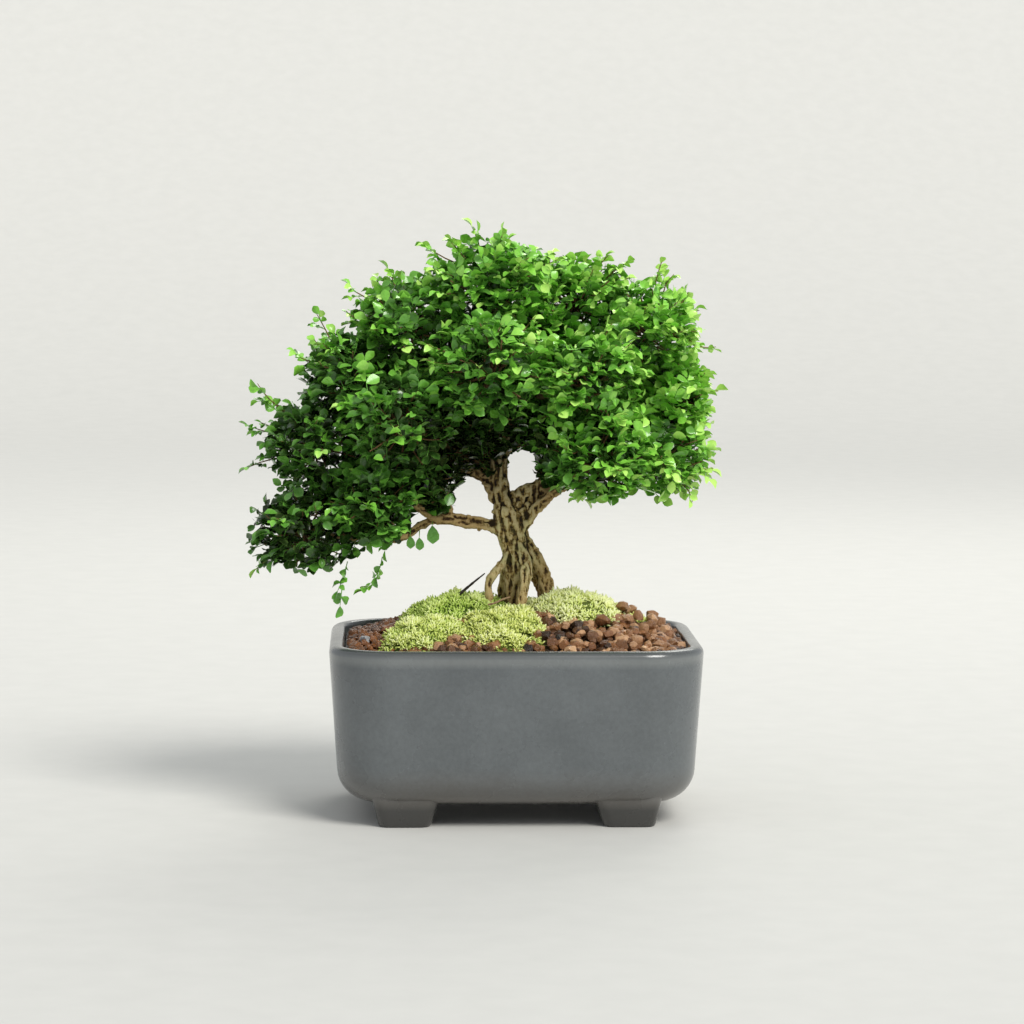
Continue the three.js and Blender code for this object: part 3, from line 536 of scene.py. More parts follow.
BRANCHES = [
    [(-2, 0, 152, 4.4), (-5.7, -0.5, 154.7, 3.8), (-10.7, -1, 156.9, 3.3), (-19, -2, 159.2, 3),
     (-29, -3.5, 160.3, 2.9), (-37.3, -4, 161.9, 2.8), (-43.4, -4, 161.6, 2.5)],
    [(-33, -4, 161, 2.4), (-41, -4.5, 161.8, 2.3), (-47.8, -6.5, 165.2, 2),
     (-53.3, -10, 169.1, 1.8), (-58.9, -13, 173.6, 1.6), (-68, -18, 176, 1.4)],
    [(-33, -4, 161, 2.4), (-41.2, -4, 161.5, 2.3), (-46.7, -4, 160.2, 2.1),
     (-53.3, -4, 156.5, 1.9), (-60.5, -5, 152, 1.8), (-74, -6, 149, 1.7),
     (-88, -6, 150.5, 1.5), (-102, -6, 153, 1.3)],
    [(-8, 2, 180, 3.3), (-14, 2, 183, 2.9), (-20, 3, 186, 2.6), (-30, 4, 191, 2.4),
     (-38, 5, 196, 2.2), (-60, 5, 200, 2), (-84, 4, 203, 1.7), (-97, 4, 204, 1.4)],
    [(-6, 0, 169, 3.4), (-10.5, -1, 172.5, 2.6), (-13, -1, 176.5, 1.9), (-17, 0, 182, 1.2)],
    [(-5, -2, 162, 2.6), (-9.5, -3, 164.6, 1.7), (-12.6, -3, 165.6, 0.9)],
    [(-34, -4, 161, 2.2), (-36, -7, 168, 1.6), (-40, -9, 175, 1.4), (-43, -10, 184, 1.2)],
    [(-24, 4, 194, 2.2), (-40, -8, 203, 1.8), (-50, -22, 210, 1.6), (-57, -32, 214, 1.4)],
    [(-20, 4, 193, 2.2), (-36, 18, 203, 1.8), (-48, 30, 212, 1.6), (-55, 39, 217, 1.4)],
    [(-7, 4, 207, 3.2), (-24, 3, 217, 2.5), (-44, 0, 226, 2.1), (-64, -3, 234, 1.8),
     (-81, -4, 240, 1.4)],
    [(-20, 3, 215, 2.2), (-31, 3, 231, 1.9), (-43, 2, 248, 1.6), (-52, 2, 260, 1.4)],
    [(1, -1, 152, 4), (5, -2, 157.5, 3.3), (8.6, -3, 162.5, 3), (15.5, -5, 170.6, 2.8),
     (21, -8, 176.5, 2.5), (27, -16, 182, 2), (34, -26, 188, 1.7), (40, -35, 192, 1.4)],
    [(-5, 0, 167, 3.8), (0.5, 0, 173.5, 3.4), (6, 0, 177.4, 3.1), (12, 0, 180, 2.8),
     (19, -1, 184, 2.4), (32, -1, 188, 2.1), (50, -3, 191, 1.8), (77, -7, 194, 1.3)],
    [(14, 0, 181, 2.0), (16, 1, 188, 1.6), (15, 2, 197, 1.4), (12, 3, 207, 1.2)],
    [(1, -1, 158, 3.8), (5.5, -1.5, 165.5, 3.1), (11, -1, 171.5, 2.7), (14.5, -1, 176.5, 2.5),
     (20, -1, 180.5, 2), (28, 0, 184, 1.4)],
    [(-1, 0, 163, 3.6), (2.6, 0, 169, 3), (7.8, 0.5, 172, 1.9), (11.5, 1, 174.5, 1.3)],
    [(26, -1, 187, 1.9), (44, 4, 200, 1.8), (60, 8, 214, 1.6), (83, 10, 228, 1.3)],
    [(-8, 4, 197, 2.8), (6, 16, 206, 2.2), (22, 30, 215, 1.8), (42, 44, 224, 1.4)],
    [(-6.5, 4, 217, 3), (10, 4, 228, 2.5), (28, 2, 240, 2.1), (46, 0, 251, 1.8),
     (69, -3, 265, 1.4)],
    [(8, 4, 227, 2.2), (20, -12, 232, 1.9), (28, -26, 236, 1.6), (34, -37, 239, 1.4)],
    [(-5.7, 4, 239, 2.5), (6, 8, 254, 2), (18, 12, 268, 1.6), (27, 13, 277, 1.4)],
    [(-6.5, 4, 225, 2.4), (-8, -12, 233, 2), (-11, -28, 240, 1.6), (-13, -43, 245, 1.4)],
    [(-6.5, 4, 229, 2.4), (-8, 18, 238, 2), (-9, 32, 245, 1.6), (-10, 44, 249, 1.4)],
]


def smooth_line(points, step):
    """A smooth line through points of (x, y, z, thickness), with a point at every step in mm."""
    points = np.array(points, float)
    ends = np.concatenate([[2 * points[0] - points[1]], points, [2 * points[-1] - points[-2]]])
    line = []
    for a, b, c, d in zip(ends, ends[1:], ends[2:], ends[3:]):
        count = max(int(np.linalg.norm((c - b)[:3]) / step), 1)
        for t in np.arange(count) / count:
            line.append(
                0.5 * (2 * b + (c - a) * t + (2 * a - 5 * b + 4 * c - d) * t**2
                       + (3 * b - a - 3 * c + d) * t**3)
            )
    line.append(points[-1])
    return np.array(line)


def sides_of(line):
    """Two directions at right angles to a line, at each of its points."""
    ahead = np.gradient(line[:, :3], axis=0)
    ahead /= np.linalg.norm(ahead, axis=1)[:, None]
    first = np.cross(ahead, np.array([0.31, 0.87, 0.12]))
    first /= np.linalg.norm(first, axis=1)[:, None]
    return first, np.cross(ahead, first)


def add_limb(line, round_steps):
    """Adds a round limb along a line of (x, y, z, thickness) in mm."""
    curve = bpy.data.curves.new("limb", "CURVE")
    curve.dimensions = "3D"
    curve.bevel_depth = 1
    curve.bevel_resolution = round_steps
    curve.use_fill_caps = True
    spline = curve.splines.new("POLY")
    spline.points.add(len(line) - 1)
    for point, (x, y, z, thickness) in zip(spline.points, line):
        point.co = (*at(x, y, z), 1)
        point.radius = thickness / 1000
    limb = bpy.data.objects.new("limb", curve)
    bpy.context.collection.objects.link(limb)
    return limb


chance = random.Random(8)
limbs = []
for number, points in enumerate([TRUNK, *ROOTS, *BRANCHES]):
    line = smooth_line(points, 2.2)
    core = line.copy()
    core[:, 3] *= 0.86
    limbs.append(add_limb(core, 2))
    if number > len(ROOTS):
        gnarl = np.linspace(0, 1, len(line)) * (1 - np.linspace(0, 1, len(line))) * 4
        for way in range(1, 3):
            wobble = np.cumsum([chance.gauss(0, 0.34) for spot in line])
            core[:, way] += gnarl * (wobble - np.linspace(0, wobble[-1], len(line)))
        line[:, :3] = core[:, :3]
    strands = 13 if number == 0 else 5
    first, second = sides_of(line)
    travel = np.linspace(0, 1, len(line))
    for strand in range(strands):
        if line[0, 3] < 2.3:
            break
        turn = 2 * math.pi * (strand + chance.uniform(-0.25, 0.25)) / strands
        wander = chance.uniform(-2.3, 2.3) * travel + 0.35 * np.sin(
            travel * chance.uniform(9, 17) + chance.uniform(0, 6)
        )
        out = line[:, 3] * (0.80 + 0.06 * np.sin(travel * chance.uniform(14, 30) + strand))
        ridge = line.copy()
        ridge[:, :3] += first * (np.cos(turn + wander) * out)[:, None]
        ridge[:, :3] += second * (np.sin(turn + wander) * out)[:, None]
        swell = 1 + 0.22 * np.sin(travel * chance.uniform(18, 40) + chance.uniform(0, 6))
        ridge[:, 3] *= (0.22 if number == 0 else 0.33) * swell
        limbs.append(add_limb(ridge, 1))
for points in (TRUNK[7:13], BRANCHES[0], BRANCHES[0], BRANCHES[3][:5], BRANCHES[11][:5],
               BRANCHES[11][:5], BRANCHES[12][:5], BRANCHES[12][:5], BRANCHES[14][:5]):
    line = smooth_line(points, 3.1)
    first, second = sides_of(line)
    for spot, one, two in zip(line[1:], first[1:], second[1:]):
        if chance.random() < 0.5:
            turn = chance.uniform(0, 2 * math.pi)
            out = (one * math.cos(turn) + two * math.sin(turn)) * spot[3] * 0.8
            bpy.ops.mesh.primitive_ico_sphere_add(
                subdivisions=2, radius=spot[3] * chance.uniform(0.30, 0.46) / 1000,
                location=at(*(spot[:3] + out)),
            )
            bpy.context.object.scale = (1, 1, chance.uniform(1.2, 2.0))
            limbs.append(bpy.context.object)
bpy.ops.object.select_all(action="DESELECT")
for limb in limbs:
    limb.select_set(True)
bpy.context.view_layer.objects.active = limbs[0]
bpy.ops.object.convert(target="MESH")
wood = join(limbs)
wood.name = "bark_and_wood"
bpy.ops.object.transform_apply(location=True, rotation=True, scale=True)


def finish_with(piece, kind, **settings):
    """Adds a modifier with its settings and applies it."""
    step = piece.modifiers.new(kind.lower(), kind)
    for name, value in settings.items():
        setattr(step, name, value)
    bpy.context.view_layer.objects.active = piece
    bpy.ops.object.modifier_apply(modifier=step.name)


def corners_and_normals(piece):
    """Where each corner of a piece is and the way it faces, as two arrays."""
    found = []
    for what in ("co", "normal"):
        values = np.zeros(len(piece.data.vertices) * 3)
        piece.data.vertices.foreach_get(what, values)
        found.append(values.reshape(-1, 3))
    return found


finish_with(wood, "REMESH", mode="VOXEL", voxel_size=0.00055)
finish_with(wood, "SMOOTH", factor=0.5, iterations=2)
places, normals = corners_and_normals(wood)
lifts = np.zeros(len(places))
for index, (x, y, z) in enumerate(places):
    lengthwise = (0.3, 1, 1) if abs(x - POT_X) > 0.014 and 0.150 < z < 0.185 else (1, 1, 0.3)
    spot = Vector((x, y, z)) * Vector(lengthwise)
    plate = noise.noise(spot * 300)
    lifts[index] = 0.0007 * (1 - 3 * abs(plate)) + 0.0005 * noise.noise(spot * 640)
places += normals * lifts[:, None]
wood.data.vertices.foreach_set("co", places.ravel())
wood.data.update()
grain = bpy.data.textures.new("bark_grain", "CLOUDS")
grain.noise_scale = 0.0011
finish_with(wood, "DISPLACE", texture=grain, strength=0.0005, mid_level=0.5)
finish_with(wood, "DECIMATE", ratio=0.47)

places, normals = corners_and_normals(wood)
ends = np.zeros(len(wood.data.edges) * 2, int)
wood.data.edges.foreach_get("vertices", ends)
ends = ends.reshape(-1, 2)
around = np.bincount(ends.ravel(), minlength=len(places))[:, None]
evened = places.copy()
for turn in range(9):
    total = np.zeros_like(evened)
    for axis in range(3):
        total[:, axis] = np.bincount(
            ends[:, 0], evened[ends[:, 1], axis], len(places)
        ) + np.bincount(ends[:, 1], evened[ends[:, 0], axis], len(places))
    evened = total / np.maximum(around, 1)
# How far each corner stands out from its smoothed neighbours, kept as a colour share: painted
# shade in the crevices and painted light on the ridges.
proud = ((places - evened) * normals).sum(1) * 1000
proud = np.clip(0.42 + proud * 0.95, 0, 1)
wood_corners = places
wood_shape = bmesh.new()
wood_shape.from_mesh(wood.data)
bmesh.ops.triangulate(wood_shape, faces=wood_shape.faces)
wood_faces = np.array([[v.index for v in f.verts] for f in wood_shape.faces])
wood_shape.free()
bpy.data.objects.remove(wood, do_unlink=True)

# The twigs that fill the canopy. Each limb ends in a pad of foliage, in which thin brown
# twigs fan out from the limb's end, and a few short ones leave the limbs on the way.
PADS = {
    "foliage_crown": (-12, 0, 289, 40, 42, 31),
    "foliage_crown_right": (34, 14, 281, 34, 38, 27),
    "foliage_shoulder_right": (74, -4, 266, 31, 42, 31),
    "foliage_right_tip": (88, 10, 230, 23, 42, 27),
    "foliage_right_skirt": (81, -8, 197, 29, 42, 26),
    "foliage_right_front": (44, -42, 197, 32, 30, 27),
    "foliage_breast_right": (38, -48, 240, 35, 32, 30),
    "foliage_breast_centre": (-14, -54, 247, 34, 30, 32),
    "foliage_shoulder_left": (-58, 2, 270, 34, 42, 28),
    "foliage_left_upper": (-91, -4, 241, 29, 42, 27),
    "foliage_left_mid": (-109, 4, 202, 33, 44, 28),
    "foliage_left_front": (-62, -42, 217, 33, 34, 32),
    "foliage_left_low": (-115, -6, 156, 35, 38, 26),
    "foliage_low_front": (-77, -24, 170, 25, 32, 26),
    "foliage_back_centre": (-10, 54, 250, 40, 32, 34),
    "foliage_back_right": (50, 52, 224, 38, 32, 34),
    "foliage_back_left": (-62, 50, 222, 38, 32, 34),
}
INNER = [
    ("foliage_left_front", -34, 4, 204, 32, 38, 22),
    ("foliage_back_centre", -8, 16, 214, 26, 24, 20),
    ("foliage_back_right", 22, 12, 212, 24, 34, 20),
    ("foliage_breast_centre", -14, -22, 222, 26, 18, 15),
    ("foliage_left_front", -52, -6, 188, 26, 30, 18),
    ("foliage_back_centre", 20, 8, 250, 30, 36, 26),
    ("foliage_crown", -30, 4, 250, 30, 40, 26),
    ("foliage_left_upper", -72, 4, 226, 28, 38, 26),
    ("foliage_left_low", -84, -4, 176, 26, 32, 20),
    ("foliage_right_skirt", 58, 4, 214, 28, 40, 24),
    ("foliage_left_front", -19, 8, 196, 20, 26, 15),
    ("foliage_right_front", 24, -8, 193, 16, 24, 16),
    ("foliage_low_front", -43, -8, 177, 13, 18, 14),
]
TWIGS_A_PAD = 30
TWIGS_AN_INNER_BUSH = 22
OPENINGS = [(-3, 9.4, 181.5, 198), (-32, -12, 164.5, 179.5)]
bush_names = [*PADS, *(bush[0] for bush in INNER)]
bushes = [*PADS.values(), *(bush[1:] for bush in INNER)]
pad_middles = np.array([bush[:3] for bush in bushes], float)
pad_reaches = np.array([bush[3:] for bush in bushes], float)
canopy_middle, canopy_reach = np.array([-8.0, 0.0, 185.0]), np.array([130.0, 80.0, 115.0])
shade_middle, shade_reach = np.array([-14.0, -8.0, 196.0]), np.array([60.0, 90.0, 46.0])


def shares(place):
    """How far out a place lies in each bush: 0 in its middle, 1 on its surface."""
    return np.linalg.norm((np.asarray(place) - pad_middles) / pad_reaches, axis=1)


def lumpy(place):
    """The share at which the foliage ends there: its surface is bunched, with hollows between."""
    bunch = noise.noise(Vector((place[0] * 0.045, place[1] * 0.045, place[2] * 0.075)))
    return 1.0 + 0.27 * bunch + 0.12 * noise.noise(Vector(place) * 0.13)


def kept_open(place):
    """Whether a place hides one of the gaps beside the trunk, seen from the front."""
    x, z = place[0] - 0.037 * place[1], place[2] + 0.069 * place[1]
    return any(left < x < right and low < z < high for left, right, low, high in OPENINGS)


def unit(direction):
    return direction / (np.linalg.norm(direction) + 1e-9)


def outward(place):
    """The way out of the whole canopy from a place in it."""
    return unit((place - canopy_middle) / canopy_reach)


def bow_between(start, tip, bend):
    """A bowed path of five points for a thin twig."""
    bow = np.array([chance.uniform(-1, 1) for axis in range(3)]) * bend
    return np.array([
        start + (tip - start) * t + bow * math.sin(math.pi * t) + [0, 0, -3 * t * (1 - t)]
        for t in (0, 0.25, 0.5, 0.75, 1)
    ])


chance = random.Random(21)
twigs = []
for number, (name, middle, reach) in enumerate(zip(bush_names, pad_middles, pad_reaches)):
    count = TWIGS_A_PAD if number < len(PADS) else TWIGS_AN_INNER_BUSH
    for index in range(count):
        rise = 1 - 2 * (index + 0.5) / count
        turn = index * 2.39996 + number * 1.3 + chance.uniform(-0.4, 0.4)
        flat = math.sqrt(1 - rise * rise)
        ahead = np.array([math.cos(turn) * flat, math.sin(turn) * flat, rise])
        deep = chance.random() < 0.28
        share = chance.uniform(0.40, 0.62) if deep else chance.uniform(0.66, 0.90)
        tip = middle + ahead * reach * share
        if shares(tip).min() < 0.36 or kept_open(tip):
            continue
        start = middle + ahead * reach * 0.06 + np.array([0, 0, -0.10 * reach[2]])
        axis = unit(0.5 * ahead + 0.75 * outward(tip) + np.array([0, 0, 0.30])
                    + np.array([chance.gauss(0, 0.26) for way in range(3)]))
        twigs.append((name, bow_between(start, tip, 2.4), axis, chance.uniform(0.55, 0.8), 6))
for points in BRANCHES:
    line = smooth_line(points, 5.0)
    for spot in line[1:-1]:
        for again in range(2):
            ahead = unit(np.array([chance.gauss(0, 1), chance.gauss(0, 1), chance.gauss(0, 0.8)]))
            tip = spot[:3] + ahead * chance.uniform(9, 17)
            near = shares(tip)
            if kept_open(tip) or spot[2] < 184 or tip[2] < 178 or not 0.5 < near.min() < 0.9:
                continue
            name = bush_names[int(near.argmin())]
            axis = unit(ahead + np.array([0, 0, -0.2]))
            twigs.append((name, bow_between(spot[:3], tip, 1.2), axis, 0.5, 4))


SHOOTS = [
    (-109.6, 275.3), (-93.2, 289.7), (-71.2, 299.7), (-50.3, 314.1), (-23.9, 323.5),
    (-123.3, 253.8),
    (-141.4, 236.6), (-148, 212.8), (-132, 225.5), (-149, 188.4), (-5.1, 321), (10.3, 309.1),
    (21.9, 308), (40.7, 304), (64.3, 305), (80, 304), (87, 297), (96, 287), (102, 277),
    (111, 257), (101, 240.5), (106, 232.7), (103, 217.2), (111, 201.2), (109, 190.6), (108, 183),
    (98, 172), (-144, 149), (-143, 134), (-36, 316), (52, 307),
]
shoots = []
for x, z in SHOOTS:
    away = (np.array([x, 0, z]) - pad_middles[:len(PADS)]) / pad_reaches[:len(PADS)]
    reached = np.hypot(away[:, 0], away[:, 2])
    number = int(reached.argmin())
    tip = np.array([x, pad_middles[number, 1] + chance.gauss(0, 9), z])
    start = pad_middles[number] + (tip - pad_middles[number]) * 0.55
    shoots.append((bush_names[number], bow_between(start, tip, 2.0)))
for number, name in enumerate(PADS):
    for again in range(9):
        ahead = unit(np.array([chance.gauss(0, 1), chance.gauss(0, 1), chance.gauss(0.5, 0.7)]))
        tip = pad_middles[number] + ahead * pad_reaches[number] * chance.uniform(1.02, 1.12)
        if shares(tip).min() < 1.0 or kept_open(tip) or tip[2] < 150 or abs(tip[1]) > 84:
            continue
        start = pad_middles[number] + (tip - pad_middles[number]) * 0.6
        shoots.append((name, bow_between(start, tip, 2.0)))
CROWN_FRONT = [(-17, 282), (-9, 289), (-15, 297), (-3, 281), (-21, 290), (-5, 297), (-11, 279)]
for x, z in CROWN_FRONT:
    tip = np.array([x, chance.uniform(-27, -20), z])
    forward = unit(np.array([0.1, -0.8, 0.5]))
    twigs.append(("foliage_crown", bow_between(pad_middles[0], tip, 1.5), forward, 0.6, 6))


def tubes(paths, thickness, sides):
    """Thin tubes along paths of the same number of points: corners and triangles."""
    ahead = np.gradient(paths, axis=1)
    ahead /= np.linalg.norm(ahead, axis=2)[..., None] + 1e-12
    first = np.cross(ahead, np.array([0.30, 0.45, 0.84]))
    first /= np.linalg.norm(first, axis=2)[..., None] + 1e-12
    second = np.cross(ahead, first)
    turn = np.arange(sides) * 2 * math.pi / sides
    ring = (
        first[:, :, None, :] * np.cos(turn)[:, None]
        + second[:, :, None, :] * np.sin(turn)[:, None]
    )
    corners = paths[:, :, None, :] + ring * thickness[:, :, None, None]
    many, steps = paths.shape[:2]
    index = np.arange(many * steps * sides).reshape(many, steps, sides)
    a, b = index[:, :-1], index[:, 1:]
    a_next, b_next = np.roll(a, -1, axis=2), np.roll(b, -1, axis=2)
    faces = np.concatenate([
        np.stack([a, a_next, b], -1).reshape(-1, 3),
        np.stack([a_next, b_next, b], -1).reshape(-1, 3),
    ])
    caps = [
        np.stack(
            [index[:, end, 0], index[:, end, side + flip], index[:, end, side + 1 - flip]], -1
        )
        for end, flip in ((0, 1), (-1, 0)) for side in range(1, sides - 1)
    ]
    return corners.reshape(-1, 3), np.concatenate([faces, *caps])


paths = np.array([*(twig[1] for twig in twigs), *(shoot[1] for shoot in shoots)])
taper = np.array([1.0, 0.88, 0.76, 0.62, 0.42])
thickness = np.array([*(twig[3] for twig in twigs), *(0.45 for shoot in shoots)])[:, None] * taper
corners, faces = tubes(paths, thickness, 5)
corners = corners / 1000 + np.array(at(0, 0, 0))
wood_tint = np.stack([proud, np.zeros_like(proud), np.zeros_like(proud)], 1)
twig_tint = np.tile([0.55, 1.0, 0.0], (len(corners), 1))
bark_parts = [(wood_corners, wood_faces, wood_tint), (corners, faces, twig_tint)]
wood = build("bark_and_wood", *gather(bark_parts), "bark_relief")

bark, tree, coat = new_finish("ropy_tan_bark")
where = shade(tree, "TexCoord").outputs["Object"]
axes = shade(tree, "SeparateXYZ", {0: where})
height = axes.outputs["Z"]
tint = shade(tree, "Attribute", attribute_name="bark_relief").outputs["Vector"]
tint = shade(tree, "SeparateXYZ", {0: tint})
drawn_out = shade(tree, "Mapping", {"Vector": where, "Scale": (1, 1, 0.28)}).outputs[0]
fibres = speckle(tree, drawn_out, 900, 4, 0.7)
patches = speckle(tree, where, 170, 4, 0.6)
flakes = speckle(tree, where, 480, 5, 0.8)
crevice_shade_and_grain = tint.outputs["X"]
for grainy, reach in ((fibres, 0.24), (flakes, 0.30)):
    crevice_shade_and_grain = shade(
        tree, "Math", {0: crevice_shade_and_grain, 1: between(tree, grainy, 0.35, 0.65, -reach, reach)},
        operation="ADD",
    ).outputs[0]
# Bark colour from the relief share and the grain: painted shade in the crevices, painted light on
# the ridges, and the bark's own fibres and flakes.
colour = ramp(
    tree, crevice_shade_and_grain,
    (0.16, (0.024, 0.014, 0.005)), (0.34, (0.150, 0.090, 0.025)), (0.54, (0.400, 0.275, 0.085)),
    (0.84, (0.680, 0.560, 0.290)),
)
lichen = between(tree, patches, 0.46, 0.60, 0, 0.6)
zone = between(tree, height, 0.118, 0.132)
zone_top = between(tree, height, 0.170, 0.155)
zone = shade(tree, "Math", {0: zone, 1: zone_top}, operation="MULTIPLY").outputs[0]
lichen = shade(tree, "Math", {0: lichen, 1: zone}, operation="MULTIPLY").outputs[0]
grey_green = ramp(
    tree, crevice_shade_and_grain, (0.3, (0.085, 0.074, 0.018)), (0.8, (0.620, 0.580, 0.260))
)
colour = blend(tree, lichen, colour, grey_green)
ochre = between(tree, height, 0.132, 0.116, 0, 0.65)
beside = shade(tree, "Math", {0: axes.outputs["X"], 1: POT_X}, operation="SUBTRACT").outputs[0]
beside = shade(tree, "Math", {0: beside}, operation="ABSOLUTE").outputs[0]
ochre = shade(
    tree, "Math", {0: ochre, 1: between(tree, beside, 0.009, 0.018, 0, 0.7)}, operation="MAXIMUM"
).outputs[0]
colour = blend(
    tree, ochre, colour,
    ramp(tree, crevice_shade_and_grain, (0.22, (0.055, 0.026, 0.008)), (0.8, (0.430, 0.262, 0.096))),
)
# Painted shade under the canopy: the wood is painted darker from 164 mm up, most of all above 190
# mm.
darker = between(tree, height, 0.164, 0.190, 1.0, 0.6)
colour = blend(
    tree, 1.0, colour,
    shade(tree, "CombineColor", {0: darker, 1: darker, 2: darker}).outputs[0], "MULTIPLY"
)
colour = blend(tree, tint.outputs["Y"], colour, ramp(
    tree, fibres, (0.3, (0.085, 0.046, 0.018)), (0.7, (0.300, 0.180, 0.075))
))
tree.links.new(colour, coat.inputs["Base Color"])
coat.inputs["Roughness"].default_value = 0.78
coat.inputs["Specular IOR Level"].default_value = 0.3
relief = shade(tree, "Bump", {"Height": fibres, "Strength": 0.55, "Distance": 0.0006})
relief = shade(
    tree, "Bump",
    {"Height": flakes, "Strength": 0.60, "Distance": 0.0010, "Normal": relief.outputs[0]},
)
tree.links.new(relief.outputs[0], coat.inputs["Normal"])
wood.data.materials.append(bark)
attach(wood, "root")
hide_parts("tree")

# Moss cushions. Live moss was pressed on the soil round the roots. Each cushion is a low
# dome crowded with small spiky stars, pale yellow-green at the tips and dark at their bases
# and on the dome, partly the moss's colour and partly painted shade between the stars. Lumps
# and the right cushion are painted lighter, hollows and the centre cushion darker, and the
# cushions at the left, most of all the one at the left back, are painted greener and darker
# as shade.
STARS_A_SQUARE_MM = 0.26
spikes = []
for spike, (lean, turn, long) in enumerate(
    [(5, 20, 1.0), (40, 0, 0.9), (46, 72, 0.8), (36, 145, 0.95), (50, 215, 0.78), (42, 288, 0.88)]
):
    bpy.ops.mesh.primitive_cone_add(
        vertices=3, radius1=0.13, radius2=0.065, depth=long, location=(0, 0, long / 2)
    )
    bpy.context.object.rotation_mode = "XYZ"
    bpy.ops.object.transform_apply(location=True, rotation=True, scale=True)
    bpy.context.object.rotation_euler = (0, math.radians(lean), math.radians(turn))
    bpy.ops.object.transform_apply(location=True, rotation=True, scale=True)
    spikes.append(bpy.context.object)
star = take(join(spikes))


def toward(direction, twist):
    """A turn as a 3 x 3 matrix that lays the Z axis along a direction."""
    direction = Vector(direction).normalized()
    return direction.to_track_quat("Z", "Y").to_matrix() @ Matrix.Rotation(twist, 3, "Z")


soft_moss, tree, coat = new_finish("soft_moss")
where = shade(tree, "TexCoord").outputs["Object"]
tint = shade(tree, "Attribute", attribute_name="moss_tint").outputs["Vector"]
tint = shade(tree, "SeparateXYZ", {0: tint})
pale = ramp(
    tree, tint.outputs["X"],
    (0.0, (0.014, 0.024, 0.003)), (0.20, (0.250, 0.310, 0.038)), (0.50, (0.740, 0.800, 0.220)),
    (1.0, (0.900, 0.940, 0.500)),
)
green = ramp(
    tree, tint.outputs["X"],
    (0.0, (0.010, 0.020, 0.003)), (0.20, (0.120, 0.220, 0.018)), (0.50, (0.420, 0.600, 0.090)),
    (1.0, (0.700, 0.860, 0.260)),
)
colour = blend(tree, tint.outputs["Y"], pale, green)
colour = blend(
    tree, 0.35, colour, ramp(tree, speckle(tree, where, 300, 3), (0.3, 0.35), (0.7, 0.62)),
    "OVERLAY",
)
tree.links.new(colour, coat.inputs["Base Color"])
coat.inputs["Roughness"].default_value = 0.72
coat.inputs["Specular IOR Level"].default_value = 0.25
fuzz = speckle(tree, where, 1600, 3, 0.7)
relief = shade(tree, "Bump", {"Height": fuzz, "Strength": 0.5, "Distance": 0.0006})
tree.links.new(relief.outputs[0], coat.inputs["Normal"])

for name, (middle_x, middle_y, half_x, half_y, height, seed) in MOSS.items():
    chance = random.Random(seed)
    bpy.ops.mesh.primitive_ico_sphere_add(subdivisions=3, radius=1, location=(0, 0, 0))
    dome = bpy.context.object
    bpy.ops.object.mode_set(mode="EDIT")
    shape = bmesh.from_edit_mesh(dome.data)
    for corner in shape.verts:
        x, y, z = corner.co
        edge = moss_edge(math.atan2(y, x), seed)
        x, y = middle_x + half_x * edge * x, middle_y + half_y * edge * y
        rise = (height - 1.5) * z**1.2 if z > 0 else 3 * z
        corner.co = at(x, y, soil_height(x, y) + rise)
    bmesh.update_edit_mesh(dome.data)
    bpy.ops.object.mode_set(mode="OBJECT")
    dome_corners, dome_faces = take(dome)
    # The cushions at the left are painted greener and darker, as shade, most of all the one at the
    # left back.
    shade_side = {"moss_left_back": 0.85, "moss_left_front": 0.35}.get(name, 0.12)
    # Painted light and shade for whole cushions: the right one is painted lighter and the centre
    # one darker.
    painted_brightness = {"moss_right": 0.34, "moss_centre": -0.18}.get(name, 0.0)
    stars = int(math.pi * half_x * half_y * STARS_A_SQUARE_MM * 1.25)
    turns, places, tints = [], [], []
    for index in range(stars):
        out = math.sqrt((index + 0.5) / stars) * 1.03
        angle = index * 2.39996 + chance.uniform(-0.3, 0.3)
        out += chance.uniform(-0.02, 0.02)
        edge = moss_edge(angle, seed) * out
        x = middle_x + half_x * edge * math.cos(angle)
        y = middle_y + half_y * edge * math.sin(angle)
        rise = (height - 1.5) * max(1 - out * out, 0) ** 0.6
        lump = noise.noise(Vector((x, y, seed)) * 0.13)
        lump = 2.8 * lump + 2.8 * noise.noise(Vector((y, x, seed)) * 0.30)
        lean = Vector((
            math.cos(angle) * out**2 * 0.9 + chance.gauss(0, 0.42),
            math.sin(angle) * out**2 * 0.9 + chance.gauss(0, 0.42),
            1.0,
        ))
        tall = chance.uniform(3.0, 5.0) * (1 - 0.2 * out**4)
        wide = chance.uniform(4.6, 6.8)
        turn = toward(lean, chance.uniform(0, 6.3)) @ Matrix.Diagonal((wide, wide, tall))
        turns.append(np.array(turn) / 1000)
        places.append(at(x, y, soil_height(x, y) + rise + lump - 1.6)[:])
        # Lumps are painted lighter and hollows darker and greener, as painted light and shade.
        greener = min(max(shade_side + chance.gauss(0, 0.14) - 0.12 * lump, 0), 1)
        tints.append((chance.uniform(0.62, 0.96) + painted_brightness + 0.17 * lump, greener))
    corners, faces = lay(star, np.array(turns), np.array(places))
    along = np.tile(np.clip(star[0][:, 2], 0, 1), len(places))
    bright = np.repeat(np.array([tint[0] for tint in tints]), len(star[0]))
    greener = np.repeat(np.array([tint[1] for tint in tints]), len(star[0]))
    # Each star runs from dark at its base to pale at its tip, and the dome is near black: partly
    # the moss's own colour and partly painted shade between the stars.
    star_tint = np.stack([(0.04 + 1.1 * along) * bright, greener, along * 0], 1)
    dome_tint = np.tile([0.06, shade_side, 0], (len(dome_corners), 1))
    parts = [(dome_corners, dome_faces, dome_tint), (corners, faces, star_tint)]
    cushion = build("soft_" + name, *gather(parts), "moss_tint")
    cushion.data.materials.append(soft_moss)
    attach(cushion, "root")
    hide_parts(name)

